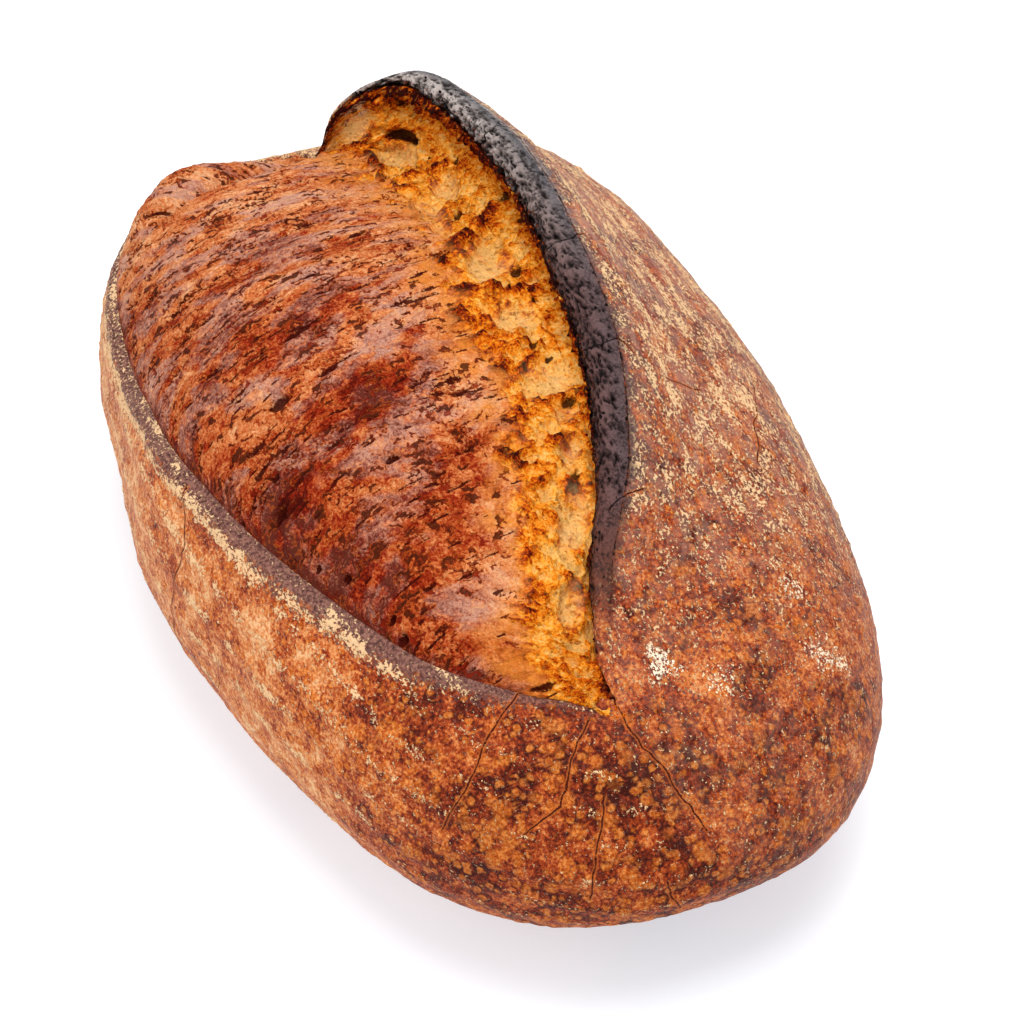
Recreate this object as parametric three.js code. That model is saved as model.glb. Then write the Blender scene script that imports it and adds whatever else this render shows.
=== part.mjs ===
// A sourdough loaf: an oval batard baked on a stone and scored once along its top. The cut opened in
// the oven into a wide bloom of torn dough on the left, and the flap on its right lifted into an ear,
// whose thick lip overhangs the crevice where bloom and ear parted.
//
// Millimetres, +Z up. X runs along the loaf from its far tip (-X) to its near tip (+X), the bloom is on
// the -Y side and the ear on the +Y side. The origin is on the flat sole, under the middle of the loaf.
//
// The skin is a loft. At every station along X one closed cross-section is drawn in six runs: half the
// sole and the left flank, the ledge where the crust was cut, the bloom, the torn wall under the ear, the
// ear's lip, and the right flank with the other half of the sole. Each run has as many points at every
// station, so neighbouring sections join up. Angles go round a section: 0 right, 90 top, 180 left.
import * as THREE from "three";
import { mergeVertices } from "three/addons/utils/BufferGeometryUtils.js";

// The plain loaf, as it would be without the cut
const LENGTH = 272;
const WIDTH = 160;
const CROWN = 107;
const WAIST = 40;
const PLAN_POWER = 2.06;
const PLAN_ROUND = 0.418;
const SIDE_POWER = 1.97;
const SIDE_ROUND = 0.502;
const UNDER_POWER = 2.35;
const UNDER_ROUND = 0.59;
const SOLE_SINK = 1.22;
const FAR_WIDER = 0.021;
const FAR_TALLER = 0.229;
const UPPER_SQUARE = 2.25;
const LOWER_SQUARE = 2.4;
const TIP = LENGTH / 2;

// Points of each run, and how many sections there are
const FLANK_POINTS = 13;
const LEDGE_POINTS = 2;
const BLOOM_POINTS = 18;
const WALL_POINTS = 6;
const LIP_POINTS = 4;
const RIGHT_POINTS = 19;
const STATIONS = 90;
const DRAWN_POINTS = 60;

// A smooth value along X through [x, value] knots
function along(...knots) {
  const slope = (i) => {
    const before = knots[Math.max(i - 1, 0)];
    const after = knots[Math.min(i + 1, knots.length - 1)];
    return (after[1] - before[1]) / (after[0] - before[0]);
  };
  return (x) => {
    let i = 0;
    while (i < knots.length - 2 && x > knots[i + 1][0]) i += 1;
    const [x0, v0] = knots[i];
    const [x1, v1] = knots[i + 1];
    const span = x1 - x0;
    const t = THREE.MathUtils.clamp((x - x0) / span, 0, 1);
    const ease = t * t * (3 - 2 * t);
    const leaving = t * (1 - t) * (1 - t) * span * slope(i);
    const arriving = t * t * (t - 1) * span * slope(i + 1);
    return v0 * (1 - ease) + leaving + v1 * ease + arriving;
  };
}

// How far each flank swells past the even oval, and how far the crown sinks at its far right
const leftSwell = along(
  [-TIP, 4], [-110, 4], [-95, 1.5], [-60, -1.5], [-20, 1.7], [20, 0.3], [60, 0.5], [100, 3.5], [TIP, 0],
);
const rightSwell = along(
  [-TIP, 0], [-100, -1], [-60, 2.4], [-20, -0.5], [20, -1], [60, -1.2], [100, 1], [TIP, 0],
);
const crownSag = along([-TIP, 1], [-122, 10], [-110, 11], [-100, 5.5], [-90, 0], [TIP, 0]);
const SAG_TOWARD = THREE.MathUtils.degToRad(56);

// The cut: how far open it is, and the angles of its left ledge and of the ear's lip
const openness = along(
  [-TIP, 0], [-131, 0], [-124, 0.6], [-112, 1], [86, 1], [98, 0.7], [108, 0], [TIP, 0],
);
const ledgeAngle = along(
  [-TIP, 126], [-131, 128], [-122, 140], [-112, 152], [-98, 159], [-60, 162], [-38, 158], [-7, 154],
  [20, 151], [56, 143], [76, 135.5], [94, 121.5], [100, 113], [105, 108.5], [112, 111], [TIP, 122],
);
const lipAngle = along(
  [-TIP, 110], [-131, 116], [-122, 113], [-108, 101], [-96, 89], [-88, 75.5], [-80, 70.5],
  [-50, 68.5], [-25, 68.8], [0, 71.5], [30, 75.5], [58, 83], [71, 89], [85, 94.7], [97, 100],
  [105, 101.5], [112, 100], [TIP, 92],
);
// Where the cut is narrower than this, in degrees or in mm of half-width, its forms shrink with it
const WIDE_CUT = 24;
const WIDE_LOAF = 45;
// How many degrees inside the ledge or the lip the groove, the crevice and the nose of the lip start
const GROOVE_IN = 3;
const CREVICE_IN = 7;
const NOSE_IN = 4;

// The ear: its rise over the plain loaf, how far that spreads, and the width, slope and roll of its lip
const earRise = along(
  [-TIP, 0], [-106, -1], [-100, -3], [-96, 0.5], [-92, 8.5], [-88, 14], [-82, 16.5],
  [-65, 14.3], [-50, 13], [0, 11], [45, 9.5], [66, 7], [82, 2.5], [98, 0], [TIP, 0],
);
const earSpread = along(
  [-TIP, 20], [-100, 15], [-90, 8], [-75, 8], [-50, 10], [0, 14], [50, 15], [TIP, 12],
);
const lipWidth = along(
  [-TIP, 2], [-100, 3], [-85, 6], [-60, 8], [0, 10], [50, 10.5], [75, 7.5], [100, 3], [TIP, 2],
);
const LIP_SLOPE = [-0.86, -0.5];
const LIP_ROLL = [-0.15, 0.26];
// The torn wall under the lip: its height, its lean to the left and its hollow
const wallHeight = along(
  [-TIP, 0.5], [-108, 0.5], [-101, 3], [-95, 12], [-88, 17.5], [-80, 19], [-50, 14.5], [0, 10],
  [50, 7.5], [80, 4.5], [105, 1], [TIP, 1],
);
const wallLean = along([-TIP, 0], [-95, -4], [-75, -5], [-30, -4], [20, -1.5], [60, 1], [95, 1], [TIP, 0]);
const wallHollow = along([-TIP, 0], [-100, 1], [-75, 4], [0, 4], [60, 3], [95, 0.5], [TIP, 0]);

// The bloom: its swell over the plain loaf, and the step down from the ledge of cut crust beside it
const bloomSwell = along(
  [-TIP, 0], [-122, 2.5], [-110, 5], [-98, 1.5], [-85, -1.5], [-60, -1.5], [0, 1.5], [60, 3],
  [95, 1], [TIP, 0],
);
const ledgeInset = along([-TIP, 1.5], [-110, 2], [-80, 3], [60, 3.5], [95, 2], [TIP, 1.5]);
const ledgeDip = along([-TIP, 0], [-110, 0.4], [-80, 1.2], [60, 1.6], [98, 0.5], [TIP, 0]);
const LEDGE_SLOPE = 0.9;
// The height of the ridges that tearing left across the bloom, and the side they keep from the ledge
const CRAG = 0.45;
const CRAG_FADE = 8;
// Open bubbles of crumb along the torn edge: x, y, radius and depth
const HOLLOWS = [
  [-81, 20, 8, 4], [-47, 21, 4.5, 2], [-19.5, 19, 8, 4], [28, 12, 4.5, 2],
  [50, 3, 5.5, 2.5], [61, -2, 7, 1.5], [73, -15, 6, 1.5], [75, -43, 5, 2.5],
];

// How far torn dough stands over the smooth bloom at a place in plan
function tornHeight(x, y) {
  const s = x + 0.2 * y;
  const fine = Math.sin(s / 3.4 + 1.6 * Math.sin(y / 13));
  const broad = Math.sin(s / 6.1 - 1.9 * Math.sin(y / 21 + x / 40));
  let height = CRAG * (fine + broad);
  for (const [hollowX, hollowY, radius, depth] of HOLLOWS) {
    const away = Math.hypot(x - hollowX, y - hollowY) / radius;
    height -= depth * Math.exp(-away * away);
  }
  return height;
}

// The half-widths and heights of the plain section at x
function plainSize(x) {
  const t = x / TIP;
  const plan = Math.pow(1 - Math.pow(Math.abs(t), PLAN_POWER), PLAN_ROUND);
  const side = Math.pow(1 - Math.pow(Math.abs(t), SIDE_POWER), SIDE_ROUND);
  const under = Math.pow(1 - Math.pow(Math.abs(t), UNDER_POWER), UNDER_ROUND);
  const half = (WIDTH / 2) * plan * (1 - FAR_WIDER * t);
  return {
    left: half + leftSwell(x) * plan,
    right: half + rightSwell(x) * plan,
    rise: (CROWN - WAIST) * side * (1 - FAR_TALLER * t),
    drop: WAIST * SOLE_SINK * under,
    sag: crownSag(x),
  };
}

// A point [y, z] of the plain section, whose sole is cut flat
function plain(size, degrees) {
  const angle = THREE.MathUtils.degToRad(degrees);
  const c = Math.cos(angle);
  const s = Math.sin(angle);
  const power = 2 / (s >= 0 ? UPPER_SQUARE : LOWER_SQUARE);
  const reach = c >= 0 ? size.right : -size.left;
  const sunk = size.sag * Math.pow(Math.max(0, Math.cos(angle - SAG_TOWARD)), 2);
  const height = s >= 0 ? size.rise - sunk : -size.drop;
  return [
    reach * Math.pow(Math.abs(c), power),
    Math.max(0, WAIST + height * Math.pow(Math.abs(s), power)),
  ];
}

const plus = (p, q, share = 1) => [p[0] + q[0] * share, p[1] + q[1] * share];
const minus = (p, q) => [p[0] - q[0], p[1] - q[1]];
const mix = (p, q, t) => [p[0] + (q[0] - p[0]) * t, p[1] + (q[1] - p[1]) * t];
const hump = (t) => Math.sin(Math.PI * t);

function draw(point) {
  return Array.from({ length: DRAWN_POINTS }, (_, i) => point(i / (DRAWN_POINTS - 1)));
}

// The six runs of the section at x, each a list of [y, z] that starts where the last one ends. Where
// the cut is shut, all of its points slide back onto the plain section.
function runsAt(x) {
  const size = plainSize(x);
  const open = openness(x);
  const ledge = ledgeAngle(x);
  const lip = lipAngle(x);
  const gap = Math.min(1, (ledge - lip) / WIDE_CUT);
  const narrow = Math.min(1, size.left / WIDE_LOAF) * gap;
  const lift = [0, earRise(x)];

  const ledgeCorner = plain(size, ledge);
  const groovePlain = plain(size, ledge - GROOVE_IN * gap);
  const crevicePlain = plain(size, lip + CREVICE_IN * gap);
  const nosePlain = plain(size, lip + NOSE_IN * gap);
  const lipPlain = plain(size, lip);

  const inset = ledgeInset(x) * narrow;
  const groove = mix(groovePlain, plus(ledgeCorner, [inset, inset * LEDGE_SLOPE - ledgeDip(x)]), open);
  const lipCorner = plus(lipPlain, lift);
  const width = lipWidth(x) * narrow;
  const nose = mix(plus(nosePlain, lift), plus(lipCorner, LIP_SLOPE, width), open);
  const crevice = mix(crevicePlain, plus(nose, [wallLean(x), -wallHeight(x)], gap), open);

  const flank = draw((t) => plain(size, 270 + (ledge - 270) * t));
  const step = [ledgeCorner, groove];
  const toGroove = minus(groove, groovePlain);
  const toCrevice = minus(crevice, crevicePlain);
  const bloom = draw((t) => {
    const angle = ledge - GROOVE_IN * gap + (lip - ledge + (GROOVE_IN + CREVICE_IN) * gap) * t;
    const atLedge = plus(plain(size, angle), toGroove, Math.pow(1 - t, 3));
    const smooth = plus(atLedge, toCrevice, t * t * t * (4 - 3 * t));
    const torn = tornHeight(x, smooth[0]) * Math.min(1, CRAG_FADE * t);
    return plus(smooth, [0, bloomSwell(x) * hump(t) + torn], open);
  });
  const hollow = wallHollow(x) * open * gap;
  const torn = tornHeight(x, crevice[0]) * open;
  const wall = draw((t) => plus(mix(crevice, nose, t), [hollow * hump(t), torn * (1 - t)]));
  const edge = draw((t) => plus(mix(nose, lipCorner, t), LIP_ROLL, width * open * hump(t)));
  const right = draw((t) => {
    const skin = plain(size, lip - (90 + lip) * t);
    const out = (skin[0] - lipPlain[0]) / earSpread(x);
    return skin[1] > WAIST ? plus(skin, lift, Math.exp(-out * out)) : skin;
  });
  return [flank, step, bloom, wall, edge, right];
}

// count points at even steps along a run, without its last point, which starts the next run
function evenly(run, count) {
  const lengths = [0];
  for (let i = 1; i < run.length; i += 1) {
    lengths.push(lengths[i - 1] + Math.hypot(...minus(run[i], run[i - 1])));
  }
  const total = lengths[run.length - 1];
  let j = 0;
  return Array.from({ length: count }, (_, k) => {
    const at = (total * k) / count;
    while (j < run.length - 2 && lengths[j + 1] < at) j += 1;
    const t = (at - lengths[j]) / (lengths[j + 1] - lengths[j] || 1);
    return mix(run[j], run[j + 1], t);
  });
}

const COUNTS = [FLANK_POINTS, LEDGE_POINTS, BLOOM_POINTS, WALL_POINTS, LIP_POINTS, RIGHT_POINTS];
const AROUND = COUNTS.reduce((sum, count) => sum + count, 0);

function section(x) {
  return runsAt(x).flatMap((run, i) => evenly(run, COUNTS[i]).map(([y, z]) => [x, y, z]));
}

// Stations crowd towards the tips as lines of latitude do towards the poles
function stationX(i) {
  return TIP * Math.sin(Math.PI * ((i + 0.7) / (STATIONS + 0.4) - 0.5));
}

function loafGeometry() {
  const positions = [];
  for (let i = 0; i < STATIONS; i += 1) positions.push(...section(stationX(i)).flat());
  const farTip = STATIONS * AROUND;
  const nearTip = farTip + 1;
  positions.push(-TIP, 0, WAIST, TIP, 0, WAIST);
  const lastSection = (STATIONS - 1) * AROUND;
  const faces = [];
  for (let j = 0; j < AROUND; j += 1) {
    const next = (j + 1) % AROUND;
    faces.push(farTip, j, next);
    for (let start = 0; start < lastSection; start += AROUND) {
      const [a, b, c, d] = [start + j, start + next, start + AROUND + next, start + AROUND + j];
      faces.push(a, d, b, b, d, c);
    }
    faces.push(nearTip, lastSection + next, lastSection + j);
  }
  const geometry = new THREE.BufferGeometry();
  geometry.setAttribute("position", new THREE.Float32BufferAttribute(positions, 3));
  geometry.setIndex(faces);
  geometry.computeBoundingBox();
  const middle = geometry.boundingBox.getCenter(new THREE.Vector3());
  geometry.translate(0, -middle.y, 0);
  return mergeVertices(geometry, 1e-3);
}

const crust = new THREE.MeshStandardMaterial({ color: 0x9a5a2c, roughness: 0.75, metalness: 0 });
const loaf = new THREE.Mesh(loafGeometry(), crust);
loaf.name = "loaf";

const part = new THREE.Group();
part.add(loaf);

export default part;
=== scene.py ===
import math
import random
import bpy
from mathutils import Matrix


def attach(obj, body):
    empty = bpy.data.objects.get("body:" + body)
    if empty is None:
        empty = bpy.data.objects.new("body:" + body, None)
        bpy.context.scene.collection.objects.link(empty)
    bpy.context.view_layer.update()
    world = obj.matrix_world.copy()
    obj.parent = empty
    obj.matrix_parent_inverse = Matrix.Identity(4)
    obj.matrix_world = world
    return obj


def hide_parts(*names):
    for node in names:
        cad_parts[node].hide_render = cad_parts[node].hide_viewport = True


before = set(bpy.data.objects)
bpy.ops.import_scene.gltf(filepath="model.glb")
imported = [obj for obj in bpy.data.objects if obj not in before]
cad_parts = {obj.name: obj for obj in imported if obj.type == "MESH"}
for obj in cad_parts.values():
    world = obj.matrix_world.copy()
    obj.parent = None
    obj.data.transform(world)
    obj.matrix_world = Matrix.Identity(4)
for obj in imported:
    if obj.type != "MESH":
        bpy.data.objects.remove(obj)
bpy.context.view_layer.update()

# A sourdough loaf: an oval batard, scored once along its top. The cut opened in the oven into a wide
# bloom of torn dough on the left, and the flap on its right lifted into a charred ear.
#
# The crust, the bloom and the flour are three pieces that stand for the CAD solid. Crust and bloom are
# lofted through the solid's own kind of cross-section, with the named sizes and guide curves kept here in
# millimetres, and then torn, blistered and pitted by moving their points. The ear's far end drops a
# little more steeply than the solid's. Every length is in mm until a mesh is made.
from types import SimpleNamespace

import bpy
import numpy as np
from mathutils import Vector, kdtree, noise

MM = 0.001
rng = random.Random(7)

# The plain loaf, as it would be without the cut
LENGTH = 272
WIDTH = 160
CROWN = 107
WAIST = 40
PLAN_POWER = 2.06
PLAN_ROUND = 0.418
SIDE_POWER = 1.97
SIDE_ROUND = 0.502
UNDER_POWER = 2.35
UNDER_ROUND = 0.59
SOLE_SINK = 1.22
FAR_WIDER = 0.021
FAR_TALLER = 0.229
UPPER_SQUARE = 2.25
LOWER_SQUARE = 2.4
TIP = LENGTH / 2


def along(*knots):
    """A smooth value along X through (x, value) knots."""
    xs = np.array([k[0] for k in knots], float)
    values = np.array([k[1] for k in knots], float)
    before = np.maximum(np.arange(len(xs)) - 1, 0)
    after = np.minimum(np.arange(len(xs)) + 1, len(xs) - 1)
    slopes = (values[after] - values[before]) / (xs[after] - xs[before])

    def value(x):
        i = np.clip(np.searchsorted(xs, x, side="right") - 1, 0, len(xs) - 2)
        span = xs[i + 1] - xs[i]
        t = np.clip((x - xs[i]) / span, 0, 1)
        ease = t * t * (3 - 2 * t)
        leaving = t * (1 - t) ** 2 * span * slopes[i]
        arriving = t * t * (t - 1) * span * slopes[i + 1]
        return values[i] * (1 - ease) + leaving + values[i + 1] * ease + arriving

    return value


# How far each flank swells past the even oval, and how far the crown sinks at its far right
left_swell = along(
    (-TIP, 4), (-110, 4), (-95, 1.5), (-60, -1.5), (-20, 1.7), (20, 0.3), (60, 0.5), (100, 3.5), (TIP, 0))
right_swell = along(
    (-TIP, 0), (-100, -1), (-60, 2.4), (-20, -0.5), (20, -1), (60, -1.2), (100, 1), (TIP, 0))
crown_sag = along((-TIP, 1), (-122, 10), (-110, 11), (-100, 5.5), (-90, 0), (TIP, 0))
SAG_TOWARD = math.radians(56)

# The cut: how far open it is, and the angles of its left ledge and of the ear's lip
openness = along(
    (-TIP, 0), (-131, 0), (-124, 0.6), (-112, 1), (86, 1), (98, 0.7), (108, 0), (TIP, 0))
ledge_angle = along(
    (-TIP, 126), (-131, 128), (-122, 140), (-112, 152), (-98, 159), (-60, 162), (-38, 158), (-7, 154),
    (20, 151), (56, 143), (76, 135.5), (94, 121.5), (100, 113), (105, 108.5), (112, 111), (TIP, 122))
lip_angle = along(
    (-TIP, 104), (-131, 110), (-122, 104), (-108, 93), (-100, 88), (-96, 87.5), (-92, 82), (-88, 75.5),
    (-80, 70.5), (-50, 68.5), (-25, 68.8), (0, 71.5), (30, 75.5), (58, 83), (71, 89), (85, 94.7),
    (97, 100), (105, 101.5), (112, 100), (TIP, 92))
WIDE_CUT = 24
WIDE_LOAF = 45
GROOVE_IN = 3
CREVICE_IN = 7
NOSE_IN = 4

# The ear: its rise over the plain loaf, how far that spreads, and the width, slope and roll of its lip
ear_rise = along(
    (-TIP, 0), (-106, -2.5), (-100, -5), (-96.3, -5.5), (-95.2, -3.5), (-94, 4.5), (-92, 9), (-88, 14),
    (-82, 16.5), (-65, 14.3), (-50, 13), (0, 11), (45, 9.5), (66, 7), (82, 2.5), (98, 0), (TIP, 0))
ear_spread = along((-TIP, 20), (-100, 15), (-90, 8), (-75, 8), (-50, 10), (0, 14), (50, 15), (TIP, 12))
lip_width = along(
    (-TIP, 2), (-100, 3), (-85, 6), (-60, 8), (0, 10), (50, 10.5), (75, 7.5), (100, 3), (TIP, 2))
LIP_SLOPE = np.array([-0.86, -0.5])
LIP_ROLL = np.array([-0.15, 0.26])
wall_height = along(
    (-TIP, 0.5), (-108, 0.5), (-101, 3), (-95, 12), (-88, 17.5), (-80, 19), (-50, 14.5), (0, 10),
    (50, 7.5), (80, 4.5), (105, 1), (TIP, 1))
wall_lean = along((-TIP, 0), (-95, -4), (-75, -5), (-30, -4), (20, -1.5), (60, 1), (95, 1), (TIP, 0))
wall_hollow = along((-TIP, 0), (-100, 1), (-75, 4), (0, 4), (60, 3), (95, 0.5), (TIP, 0))

# The bloom: its swell over the plain loaf, and the step down from the ledge of cut crust beside it
bloom_swell = along(
    (-TIP, 0), (-122, 2.5), (-110, 5.5), (-98, 2.2), (-85, -1.5), (-60, -1.5), (0, 1.5), (60, 3),
    (95, 1), (TIP, 0))
ledge_inset = along((-TIP, 1.5), (-110, 2), (-80, 3), (60, 3.5), (95, 2), (TIP, 1.5))
ledge_dip = along((-TIP, 0), (-110, 0.4), (-80, 1.2), (60, 1.6), (98, 0.5), (TIP, 0))
LEDGE_SLOPE = 0.9
DRAWN_POINTS = 60


def plain_size(x):
    """Half-widths and heights of the plain section at x."""
    t = x / TIP
    plan = (1 - abs(t) ** PLAN_POWER) ** PLAN_ROUND
    side = (1 - abs(t) ** SIDE_POWER) ** SIDE_ROUND
    under = (1 - abs(t) ** UNDER_POWER) ** UNDER_ROUND
    half = WIDTH / 2 * plan * (1 - FAR_WIDER * t)
    return {
        "left": half + left_swell(x) * plan,
        "right": half + right_swell(x) * plan,
        "rise": (CROWN - WAIST) * side * (1 - FAR_TALLER * t),
        "drop": WAIST * SOLE_SINK * under,
        "sag": crown_sag(x),
    }


def plain(size, degrees):
    """Points (y, z) of the plain section, whose sole is cut flat."""
    angle = np.radians(degrees)
    c, s = np.cos(angle), np.sin(angle)
    power = 2 / np.where(s >= 0, UPPER_SQUARE, LOWER_SQUARE)
    reach = np.where(c >= 0, size["right"], -size["left"])
    sunk = size["sag"] * np.maximum(0, np.cos(angle - SAG_TOWARD)) ** 2
    height = np.where(s >= 0, size["rise"] - sunk, -size["drop"])
    y = reach * np.abs(c) ** power
    z = np.maximum(0, WAIST + height * np.abs(s) ** power)
    return np.stack([y, z], axis=-1)


def runs_at(x):
    """The six runs of the section at x: flank, ledge, bloom, wall under the ear, lip and right flank."""
    size = plain_size(x)
    shut_open = openness(x)
    ledge, lip = ledge_angle(x), lip_angle(x)
    gap = min(1, (ledge - lip) / WIDE_CUT)
    narrow = min(1, size["left"] / WIDE_LOAF) * gap
    lift = np.array([0, ear_rise(x)])
    t = np.linspace(0, 1, DRAWN_POINTS)[:, None]
    hump = np.sin(math.pi * t)

    ledge_corner = plain(size, ledge)
    groove_plain = plain(size, ledge - GROOVE_IN * gap)
    crevice_plain = plain(size, lip + CREVICE_IN * gap)
    nose_plain = plain(size, lip + NOSE_IN * gap)
    lip_plain = plain(size, lip)

    inset = ledge_inset(x) * narrow
    low = ledge_corner + [inset, inset * LEDGE_SLOPE - ledge_dip(x)]
    groove = groove_plain + (low - groove_plain) * shut_open
    lip_corner = lip_plain + lift
    width = lip_width(x) * narrow
    raised = nose_plain + lift
    nose = raised + (lip_corner + LIP_SLOPE * width - raised) * shut_open
    deep = nose + np.array([wall_lean(x), -wall_height(x)]) * gap
    crevice = crevice_plain + (deep - crevice_plain) * shut_open

    flank = plain(size, 270 + (ledge - 270) * t[:, 0])
    step = ledge_corner + (groove - ledge_corner) * t
    step_angle = ledge - GROOVE_IN * gap
    skin = plain(size, step_angle + (lip + CREVICE_IN * gap - step_angle) * t[:, 0])
    bloom = skin + (groove - groove_plain) * (1 - t) ** 3 + (crevice - crevice_plain) * t ** 3 * (4 - 3 * t)
    bloom = bloom + np.array([0, bloom_swell(x)]) * shut_open * hump
    wall = crevice + (nose - crevice) * t + np.array([wall_hollow(x), 0]) * shut_open * gap * hump
    edge = nose + (lip_corner - nose) * t + LIP_ROLL * width * shut_open * hump
    right = plain(size, lip - (90 + lip) * t[:, 0])
    out = (right[:, :1] - lip_plain[0]) / ear_spread(x)
    right = right + np.where(right[:, 1:] > WAIST, lift * np.exp(-out * out), 0)
    return [flank, step, bloom, wall, edge, right]


def respaced(run, count, weight=None, last=False):
    """count points at even steps of (weighted) length along a run, with or without its last point."""
    steps = np.linalg.norm(np.diff(run, axis=0), axis=1)
    if weight is not None:
        steps = steps * (weight[1:] + weight[:-1]) / 2
    lengths = np.concatenate([[0], np.cumsum(steps + 1e-9)])
    at = np.linspace(0, lengths[-1], count if last else count + 1)[:count]
    return np.stack([np.interp(at, lengths, run[:, k]) for k in range(run.shape[1])], axis=-1)


def smooth_step(value, low, high):
    t = np.clip((value - low) / (high - low), 0, 1)
    return t * t * (3 - 2 * t)


def clouds(points, size, octaves=3, seed=0):
    """Noise from about -1 to 1, in spots about size mm across (one size, or one for each axis)."""
    scaled = points / np.asarray(size, float) + np.array([17.3, 5.1, 29.7]) * (seed + 1)
    return np.array([noise.fractal(p, 1.0, 2.0, octaves) for p in scaled.tolist()])


def bubbles(points, size, seed=0):
    """Distances to the nearest and the next middle of bubbles about size mm across, in bubble sizes."""
    scaled = points / size + np.array([3.9, 41.2, 11.7]) * (seed + 1)
    found = [noise.voronoi(p)[0][:2] for p in scaled.tolist()]
    return np.array(found).T


def normals_of(grid):
    """Unit normals of a grid of points whose rows run along the loaf and columns from left to right."""
    along_rows = np.gradient(grid, axis=0)
    along_columns = np.gradient(grid, axis=1)
    cross = np.cross(along_rows, along_columns)
    return cross / np.maximum(np.linalg.norm(cross, axis=-1, keepdims=True), 1e-9)


def areas_of(grid):
    """The share of the surface around each point of a grid, so that things can be strewn evenly."""
    cross = np.cross(np.gradient(grid, axis=0), np.gradient(grid, axis=1))
    return np.linalg.norm(cross, axis=-1)


def strewn(weights, count):
    """Indices of points picked at random in proportion to their weights."""
    total = np.cumsum(weights)
    picks = np.array([rng.random() for _ in range(count)]) * total[-1]
    return np.searchsorted(total, picks)


def near_each(points, spots):
    """Yields each spot (x, y, z, reach, ...) with the indices and offsets of the points in its reach."""
    tree = kdtree.KDTree(len(points))
    for index, point in enumerate(points.tolist()):
        tree.insert(point, index)
    tree.balance()
    for spot in spots:
        found = [hit[1] for hit in tree.find_range(spot[:3], spot[3])]
        if found:
            yield spot, np.array(found), points[found] - np.array(spot[:3])


def start_from_sphere(name, rings, around):
    """A sphere with its poles on X, and each point's ring and place round it."""
    bpy.ops.object.select_all(action="DESELECT")
    bpy.ops.mesh.primitive_uv_sphere_add(
        segments=around, ring_count=rings + 1, radius=1, rotation=(0, math.pi / 2, 0))
    piece = bpy.context.object
    piece.name = name
    bpy.ops.object.transform_apply(location=True, rotation=True, scale=True)
    points = np.empty(len(piece.data.vertices) * 3)
    piece.data.vertices.foreach_get("co", points)
    points = points.reshape(-1, 3)
    ring = np.rint(np.arccos(np.clip(-points[:, 0], -1, 1)) / math.pi * (rings + 1)).astype(int) - 1
    turn = np.arctan2(-points[:, 1], -points[:, 2]) / (2 * math.pi)
    return piece, ring, np.rint(turn * around).astype(int) % around


def start_from_sheet(name, rows, columns):
    """A flat grid, and each point's row along X and column along Y."""
    bpy.ops.object.select_all(action="DESELECT")
    bpy.ops.mesh.primitive_grid_add(x_subdivisions=rows - 1, y_subdivisions=columns - 1, size=2)
    piece = bpy.context.object
    piece.name = name
    points = np.empty(len(piece.data.vertices) * 3)
    piece.data.vertices.foreach_get("co", points)
    points = points.reshape(-1, 3)
    row = np.rint((points[:, 0] + 1) / 2 * (rows - 1)).astype(int)
    column = np.rint((points[:, 1] + 1) / 2 * (columns - 1)).astype(int)
    return piece, row, column


def set_points(piece, points):
    piece.data.vertices.foreach_set("co", (points * MM).ravel())
    piece.data.update()


def add_attributes(piece, index, fields):
    """Gives the piece named values for each of its points, taken from the grid by index."""
    for name, values in fields.items():
        values = np.asarray(values, np.float32)[index]
        kind = "FLOAT" if values.ndim == 1 else "FLOAT_VECTOR"
        attribute = piece.data.attributes.new(name, kind, "POINT")
        attribute.data.foreach_set("value" if values.ndim == 1 else "vector", values.ravel())


# The skin of crust

FLANK_POINTS = 104
LEDGE_POINTS = 8
UNDER_BLOOM_POINTS = 12
UNDER_WALL_POINTS = 5
LIP_POINTS = 22
RIGHT_POINTS = 103
COUNTS = [FLANK_POINTS, LEDGE_POINTS, UNDER_BLOOM_POINTS, UNDER_WALL_POINTS, LIP_POINTS, RIGHT_POINTS]
# The place round the section where each of these runs starts, and how many places there are
LEDGE_AT, BED_AT, _, LIP_AT, RIGHT_AT, AROUND = np.cumsum(COUNTS).tolist()
STATIONS = 391
SOLE_DETAIL = 0.3
BLOOM_SUNK = 6
WALL_SUNK = 7
# The solid is centred on the origin, which moved it this far across
MIDDLE_Y = -1.219


def inward(run, depth):
    """A run moved into the loaf by a depth for each of its points."""
    ahead = np.gradient(run, axis=0)
    side = np.stack([-ahead[:, 1], ahead[:, 0]], axis=-1)
    side = side / np.maximum(np.linalg.norm(side, axis=1, keepdims=True), 1e-9)
    return run - side * depth[:, None]


def wall_sunk(x):
    """How deep the crust lies behind the torn wall's foot."""
    return np.minimum(WALL_SUNK, 1.2 + 0.5 * wall_height(x))


def crust_section(x):
    """The closed section of the crust at x, with the bed under the bloom sunk."""
    flank, step, bloom, wall, edge, right = runs_at(x)
    t = np.linspace(0, 1, DRAWN_POINTS)
    bed = openness(x)
    bloom = inward(bloom, bed * (BLOOM_SUNK * smooth_step(t, 0, 0.06) * (1 - t) + wall_sunk(x) * t))
    wall = inward(wall, bed * wall_sunk(x) * (1 - t * t))
    runs = [flank, step, bloom, wall, edge, right]
    detail = [np.where(run[:, 1] < 1.5, SOLE_DETAIL, 1.0) for run in runs]
    return np.concatenate([respaced(*three) for three in zip(runs, COUNTS, detail)])


def crust_grid():
    rows = []
    for i in range(STATIONS):
        x = TIP * math.sin(math.pi * ((i + 1) / (STATIONS + 1) - 0.5))
        section = crust_section(x)
        rows.append(np.column_stack([np.full(len(section), x), section]))
    return np.array(rows)


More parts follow.
